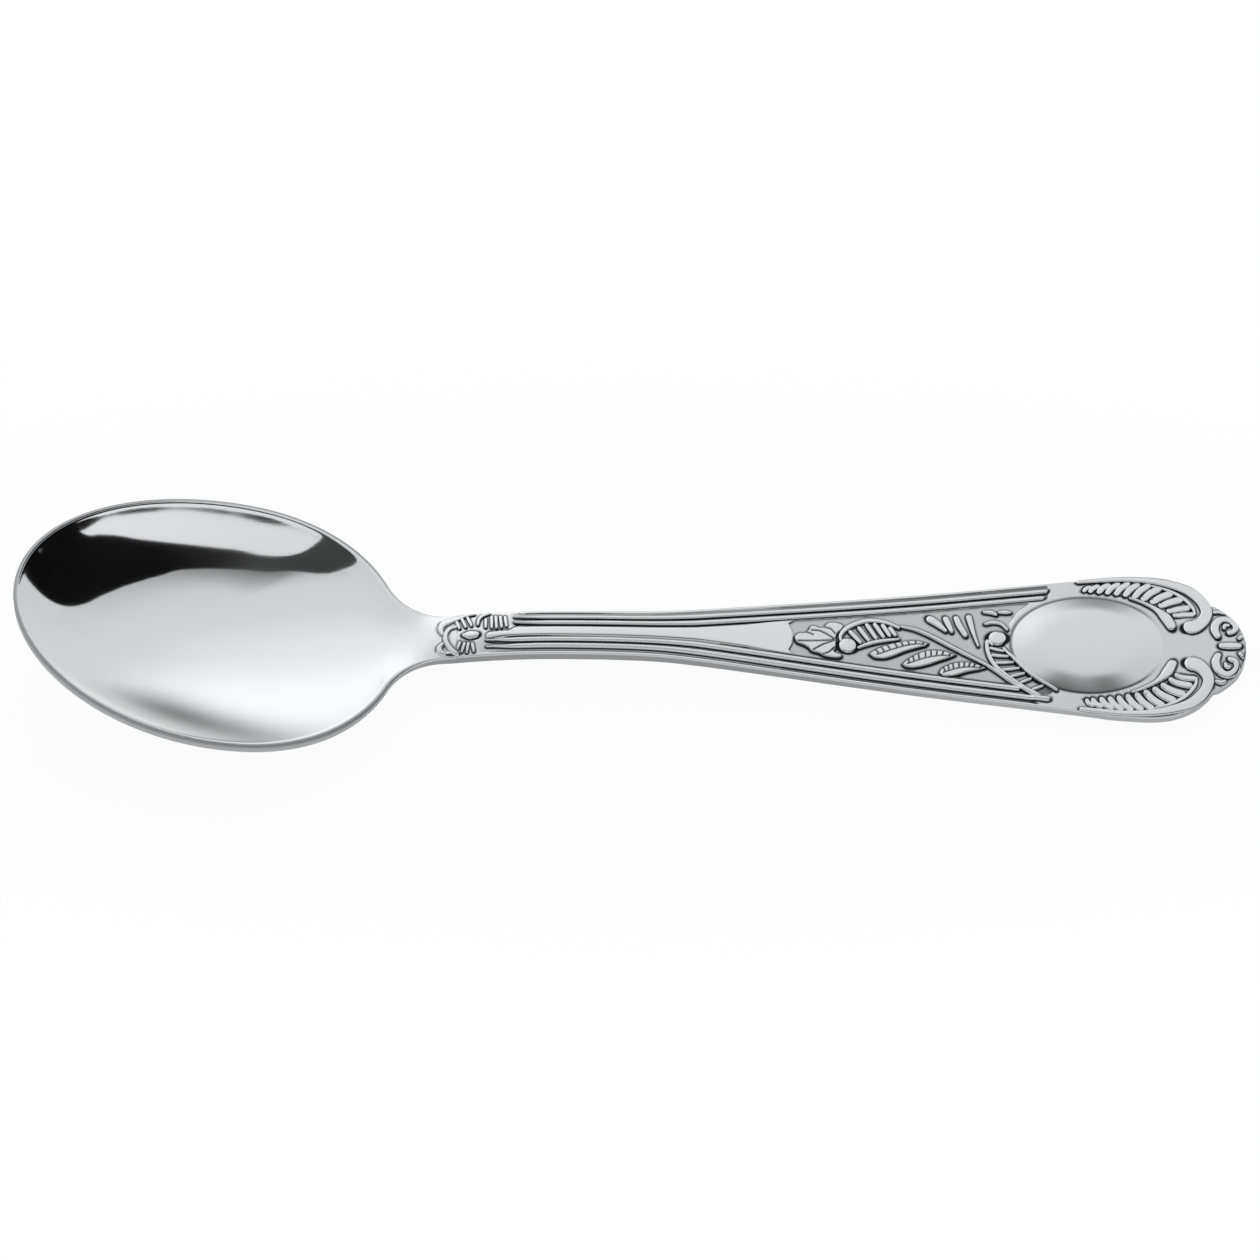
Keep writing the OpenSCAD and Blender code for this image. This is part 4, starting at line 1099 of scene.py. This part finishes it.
# Plates as a fine net over their outlines: a round edge, cut grooves, and a buried foot
def platePiece(name, cell=0.065, roundRun=0.2, buried=0.22):
    plate = plates[name]
    verts, faces, shade = [], [], []
    for outline in plate["outlines"]:
        low, high = outline.min(0) - 0.2, outline.max(0) + 0.2
        x, y = np.meshgrid(np.arange(low[0], high[0], cell), np.arange(low[1], high[1], cell),
            indexing="ij")
        away = distanceTo(outline, x, y)
        edge = np.clip(-away / roundRun, 0, 1)
        cut = np.zeros(x.shape)
        for line, width in plate["grooves"]:
            cut = np.maximum(cut, 1 - ease(distanceToLine(line, x, y) / width))
        height = plate["rise"] * np.sqrt(1 - (1 - edge) ** 2) * (1 - 0.6 * cut)
        seat = topSurface(x, y)
        z = seat + np.where(away > 0, -np.minimum(away, cell * 1.5) * 2.5, height)
        # Painted shade in the grooves, over the round edge and on the underside
        dark = np.clip(np.maximum(cut, 1 - ease(edge / 0.7)), 0, 1)
        keep = away < cell * 1.2
        cells = keep[:-1, :-1] & keep[1:, :-1] & keep[1:, 1:] & keep[:-1, 1:]
        solid = np.pad(cells, 1)
        used = solid[:-1, :-1] | solid[1:, :-1] | solid[1:, 1:] | solid[:-1, 1:]
        base, count = len(verts), int(used.sum())
        index = np.full(x.shape, -1)
        index[used] = np.arange(count) + base
        verts += np.stack([x[used], y[used], z[used]], 1).tolist()
        verts += np.stack([x[used], y[used], seat[used] - buried], 1).tolist()
        shade += dark[used].tolist() + [1.0] * count
        i, j = np.nonzero(cells)
        a, b, c, d = index[i, j], index[i + 1, j], index[i + 1, j + 1], index[i, j + 1]
        faces += np.stack([a, b, c, d], 1).tolist()
        faces += (np.stack([d, c, b, a], 1) + count).tolist()
        # Walls where a cell has no neighbour
        for di, dj, first, second in ((-1, 0, d, a), (1, 0, b, c), (0, -1, a, b), (0, 1, c, d)):
            rimCell = ~solid[i + 1 + di, j + 1 + dj]
            f, s = first[rimCell], second[rimCell]
            faces += np.stack([f, f + count, s + count, s], 1).tolist()
    mesh = bpy.data.meshes.new(name)
    mesh.from_pydata(toFrame(verts).tolist(), [], faces)
    writeAttribute(mesh, "paintedShade", shade)
    mesh.polygons.foreach_set("use_smooth", [True] * len(mesh.polygons))
    mesh.materials.append(struckSteel)
    mesh.update()
    return makeObject(name, mesh)


pieces = skins + [(bossPiece(), "cartouche")]
for piece, node in pieces:
    piece.data.materials.append(polishedSteel)
for name, made in ornaments.items():
    pieces.append((ornamentPiece(name, made["rise"], made["square"]), made["node"]))
for name, made in plates.items():
    pieces.append((platePiece(name), made["node"]))
# The bowl shows the room, and not a second image of its own walls
spoonBowl.visible_glossy = False
for piece, node in pieces:
    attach(piece, "root")
    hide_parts(node)
print("pieces:", len(pieces), sum(len(piece.data.polygons) for piece, node in pieces))


# Table, light and camera

# White for the camera. Round the spoon a share of plain white paint keeps its shadow, within
# an oval of these reaches along y in metres, drawn longer along x
table = dict(halfSide=6.0, paintFull=0.025, paintNone=0.045, alongShare=0.3, whiteShare=0.92)


def tableMaterial():
    made = bpy.data.materials.new("whiteTable")
    tree = emptyTree(made)
    path = addNode(tree, "ShaderNodeLightPath").outputs
    seen = addNode(tree, "ShaderNodeMath", {"operation": "MAXIMUM"},
        links={0: path["Is Camera Ray"], 1: path["Is Glossy Ray"]})
    place = addNode(tree, "ShaderNodeTexCoord").outputs["Object"]
    oval = addNode(tree, "ShaderNodeVectorMath", {"operation": "MULTIPLY"},
        {1: (table["alongShare"], 1.0, 1.0)}, {0: place})
    away = addNode(tree, "ShaderNodeVectorMath", {"operation": "LENGTH"},
        links={0: oval.outputs[0]})
    cover = addNode(tree, "ShaderNodeMapRange", values={"From Min": table["paintFull"],
        "From Max": table["paintNone"], "To Min": table["whiteShare"], "To Max": 1.0},
        links={"Value": away.outputs["Value"]})
    share = addNode(tree, "ShaderNodeMath", {"operation": "MULTIPLY"},
        links={0: seen.outputs[0], 1: cover.outputs[0]})
    paint = addNode(tree, "ShaderNodeBsdfDiffuse", values={"Color": (1.0, 1.0, 1.0, 1.0)})
    white = addNode(tree, "ShaderNodeEmission", values={"Strength": 1.0})
    both = addNode(tree, "ShaderNodeMixShader", links={0: share.outputs[0], 1: paint.outputs[0],
        2: white.outputs[0]})
    addNode(tree, "ShaderNodeOutputMaterial", links={0: both.outputs[0]})
    return made


tableMesh = bpy.data.meshes.new("table")
tableMesh.from_pydata([(x * table["halfSide"], y * table["halfSide"], 0)
    for x, y in ((-1, -1), (1, -1), (1, 1), (-1, 1))], [], [(0, 1, 2, 3)])
tableMesh.materials.append(tableMaterial())
tableTop = makeObject("table", tableMesh)
tableTop.visible_glossy = False


# Things that only the steel sees, as a mirror image: each point has a tone and a cover
def mirroredCard(name, grid, tones, covers):
    rows, columns = grid.shape[:2]
    index = np.arange(rows * columns).reshape(rows, columns)
    quads = np.stack([index[:-1, :-1], index[1:, :-1], index[1:, 1:], index[:-1, 1:]], 2)
    mesh = bpy.data.meshes.new(name)
    mesh.from_pydata(grid.reshape(-1, 3).tolist(), [], quads.reshape(-1, 4).tolist())
    for key, values in (("tone", tones), ("cover", covers)):
        writeAttribute(mesh, key, np.broadcast_to(values, (rows, columns)))
    made = bpy.data.materials.new(name)
    tree = emptyTree(made)
    tone, cover = (addNode(tree, "ShaderNodeAttribute", {"attribute_name": key}).outputs["Fac"]
        for key in ("tone", "cover"))
    glow = addNode(tree, "ShaderNodeEmission", links={"Strength": tone})
    clear = addNode(tree, "ShaderNodeBsdfTransparent")
    both = addNode(tree, "ShaderNodeMixShader", links={0: cover, 1: clear.outputs[0],
        2: glow.outputs[0]})
    addNode(tree, "ShaderNodeOutputMaterial", links={0: both.outputs[0]})
    mesh.materials.append(made)
    card = makeObject(name, mesh)
    for ray in ("camera", "diffuse", "shadow", "transmission"):
        setattr(card, "visible_" + ray, False)


def direction(bearing, height):
    a, e = np.radians(bearing), np.radians(height)
    return np.stack([np.cos(e) * np.cos(a), np.cos(e) * np.sin(a), np.sin(e)], -1)


# A strip of a sphere round the bowl. Each row has a bearing, a low and a high edge in
# degrees, and a tone at each of the two
def strip(name, rows, reach=2.0, fades=False, steps=12):
    rows = smoothLine(rows, steps * (len(rows) - 1))
    share = np.linspace(0, 1, 5)[None]
    heights = mix(rows[:, 1:2], rows[:, 2:3], share)
    grid = direction(np.broadcast_to(rows[:, :1], heights.shape), heights) * reach
    end = np.linspace(0, 1, len(rows))[:, None]
    cover = (1 - ease(share)) * ease(end * 5) * ease((1 - end) * 4) if fades else 1.0
    mirroredCard(name, grid, np.maximum(0, mix(rows[:, 3:4], rows[:, 4:5], share)), cover)


black = 0.004
wallNear = [(-154, 53, 68, 0.07, 0.05), (-148, 51, 70.5, 0.06, 0.05),
    (-135, 50, 72, 0.06, 0.05), (-122, 54, 72.5, 0.06, 0.05), (-116, 62.5, 73, 0.05, 0.06),
    (-105, 64.5, 73, 0.05, 0.07), (-90, 61.5, 70.5, 0.05, 0.06), (-75, 52.5, 66, 0.02, 0.03),
    (-60, 41, 60, 0.012, 0.012)]
wallFar = [(-45, 27, 53.5), (-36, 17, 51.5), (-30, 11.5, 49.5), (-24, 6, 47), (-18, -14, 44.5),
    (0, -14, 34.5), (9, -12.5, 28), (17, -10.5, 21.5), (22, -8.2, 15.5), (25, -5.8, 10.5),
    (26.8, -3.2, 6), (27.6, -0.5, 2)]
strip("darkWall", wallNear + [(*row, black, black) for row in wallFar])
# A soft dusk over the dark band
haze = [(-170, 60, 84, 0.45), (-135, 68, 88, 0.25), (-116, 70, 88, 0.2), (-90, 67, 88, 0.2),
    (-60, 57, 82, 0.3), (-40, 49, 75, 0.4), (-10, 36, 64, 0.55), (20, 14, 50, 0.6),
    (40, -10, 30, 0.6)]
strip("wallHaze", [(*row, row[-1]) for row in haze], reach=2.1, fades=True)
# The dark line under the bright window that the bowl's far side shows, and the grey below
footTops = [(-150, 52, 0.05), (-121, 55.5, 0.05), (-112, 54, 0.03), (-105, 52.4, 0.02),
    (-90, 47.2, 0.01), (-80, 40.7, 0.006), (-70, 30.7, 0.006), (-60, 21.4, 0.006),
    (-52, 16.2, 0.006), (-45, 12, 0.006), (-36, 7.2, 0.006), (-24, 4.6, 0.006),
    (-17, -2, 0.006)]
strip("wallFoot", [(a, top - 5.5, top, tone, tone) for a, top, tone in footTops])
strip("greyFoot", [(a, -14, top - 3, 0.72, 0.6) for a, top, tone in footTops], reach=2.02)
strip("window", [(-126, -5, 68, 0.86, 0.84), (-75, -5, 60, 0.9, 0.84),
    (-20, -5, 20, 0.92, 0.9)], reach=2.05)


# A round card that fades towards its edge, at a reach from a place on the spoon
def softDisc(name, place, aim, reach, spreadAngle, tone, cover):
    across = np.cross([0, 0, 1], aim)
    across /= np.linalg.norm(across)
    ring = np.linspace(0, 1, 25)[:, None]
    turn = np.linspace(0, 2 * math.pi, 73)[None, :, None]
    spread = np.tan(ring * math.radians(spreadAngle))[..., None] * (np.cos(turn) * across
        + np.sin(turn) * np.cross(aim, across))
    grid = (aim + spread) / np.linalg.norm(aim + spread, axis=-1, keepdims=True)
    fade = 1 - ease((ring - 0.1) / 0.9)
    mirroredCard(name, np.array(place) + reach * grid, tone, fade * cover)


# A soft lamp behind the bowl, brightest at its middle
softDisc("softLamp", place=(-0.045, 0, 0.005), aim=direction(103.0, 25.0), reach=0.2,
    spreadAngle=50, tone=1.22, cover=0.9)
# A dark thing over the handle's end, which the boss shows along its near side
softDisc("duskOver", place=(0.052, 0, 0.005), aim=direction(-52.0, 64.0), reach=0.11,
    spreadAngle=17, tone=black, cover=0.7)
print("table and mirrored cards: made")


# A white room: paler towards the back, paler again low down, and with a soft grey thing
# behind the bowl. The camera itself sees plain white
def whiteRoom():
    room = bpy.data.worlds.new("whiteRoom")
    tree = emptyTree(room)
    path = addNode(tree, "ShaderNodeLightPath").outputs
    way = addNode(tree, "ShaderNodeTexCoord").outputs["Generated"]
    facing = addNode(tree, "ShaderNodeVectorMath", {"operation": "DOT_PRODUCT"},
        {1: direction(100.0, 25.0)}, {0: way})
    walls = addNode(tree, "ShaderNodeMapRange",
        values={"From Min": -0.2, "From Max": 0.95, "To Min": 0.64, "To Max": 0.86},
        links={"Value": facing.outputs["Value"]})
    turned = addNode(tree, "ShaderNodeMapping", {"vector_type": "TEXTURE"},
        {"Location": (0.0, 0.0, -0.03), "Rotation": (0.0, 0.0, math.radians(82)),
            "Scale": (1000.0, 0.37, 0.6)}, {"Vector": way})
    away = addNode(tree, "ShaderNodeVectorMath", {"operation": "LENGTH"},
        links={0: turned.outputs[0]})
    smudge = addNode(tree, "ShaderNodeMapRange", {"interpolation_type": "SMOOTHSTEP"},
        {"From Min": 0.0, "From Max": 1.0, "To Min": 0.12, "To Max": 1.0},
        {"Value": away.outputs["Value"]})
    height = addNode(tree, "ShaderNodeSeparateXYZ", links={0: way}).outputs["Z"]
    below = addNode(tree, "ShaderNodeMapRange",
        values={"From Min": -0.6, "From Max": -0.25, "To Min": 0.85, "To Max": 0.5},
        links={"Value": height})
    paler = addNode(tree, "ShaderNodeMath", {"operation": "MAXIMUM"},
        links={0: walls.outputs[0], 1: below.outputs[0]})
    glow = addNode(tree, "ShaderNodeMath", {"operation": "MULTIPLY"},
        links={0: paler.outputs[0], 1: smudge.outputs[0]})
    lit = addNode(tree, "ShaderNodeBackground", values={"Color": (1, 1, 1, 1)},
        links={"Strength": glow.outputs[0]})
    seen = addNode(tree, "ShaderNodeBackground", values={"Color": (1, 1, 1, 1), "Strength": 1.0})
    both = addNode(tree, "ShaderNodeMixShader", links={0: path["Is Camera Ray"],
        1: lit.outputs[0], 2: seen.outputs[0]})
    addNode(tree, "ShaderNodeOutputWorld", links={0: both.outputs[0]})
    return room


scene = bpy.context.scene
scene.world = whiteRoom()

lamp = bpy.data.lights.new("softbox", "AREA")
lamp.energy, lamp.size = 3.0, 0.9
softbox = makeObject("softbox", lamp)
softbox.location = (-0.3, 0.7, 1.1)
softbox.rotation_euler = (math.radians(-33), 0, math.radians(23))
softbox.visible_glossy = False

# The photograph's view: straight across the spoon, 60 degrees above the table, a long lens
camera = makeObject("camera", bpy.data.cameras.new("camera"))
camera.location = (0, -0.6, 1.04398)
camera.rotation_euler = (math.radians(30), 0, 0)
camera.data.sensor_width, camera.data.lens = 36.0, 301.2
camera.data.shift_x, camera.data.shift_y = -0.00196, 0.00359
camera.data.clip_end = 20
scene.camera = camera
scene.view_settings.view_transform = "Standard"
print("room, lamp and camera: made")
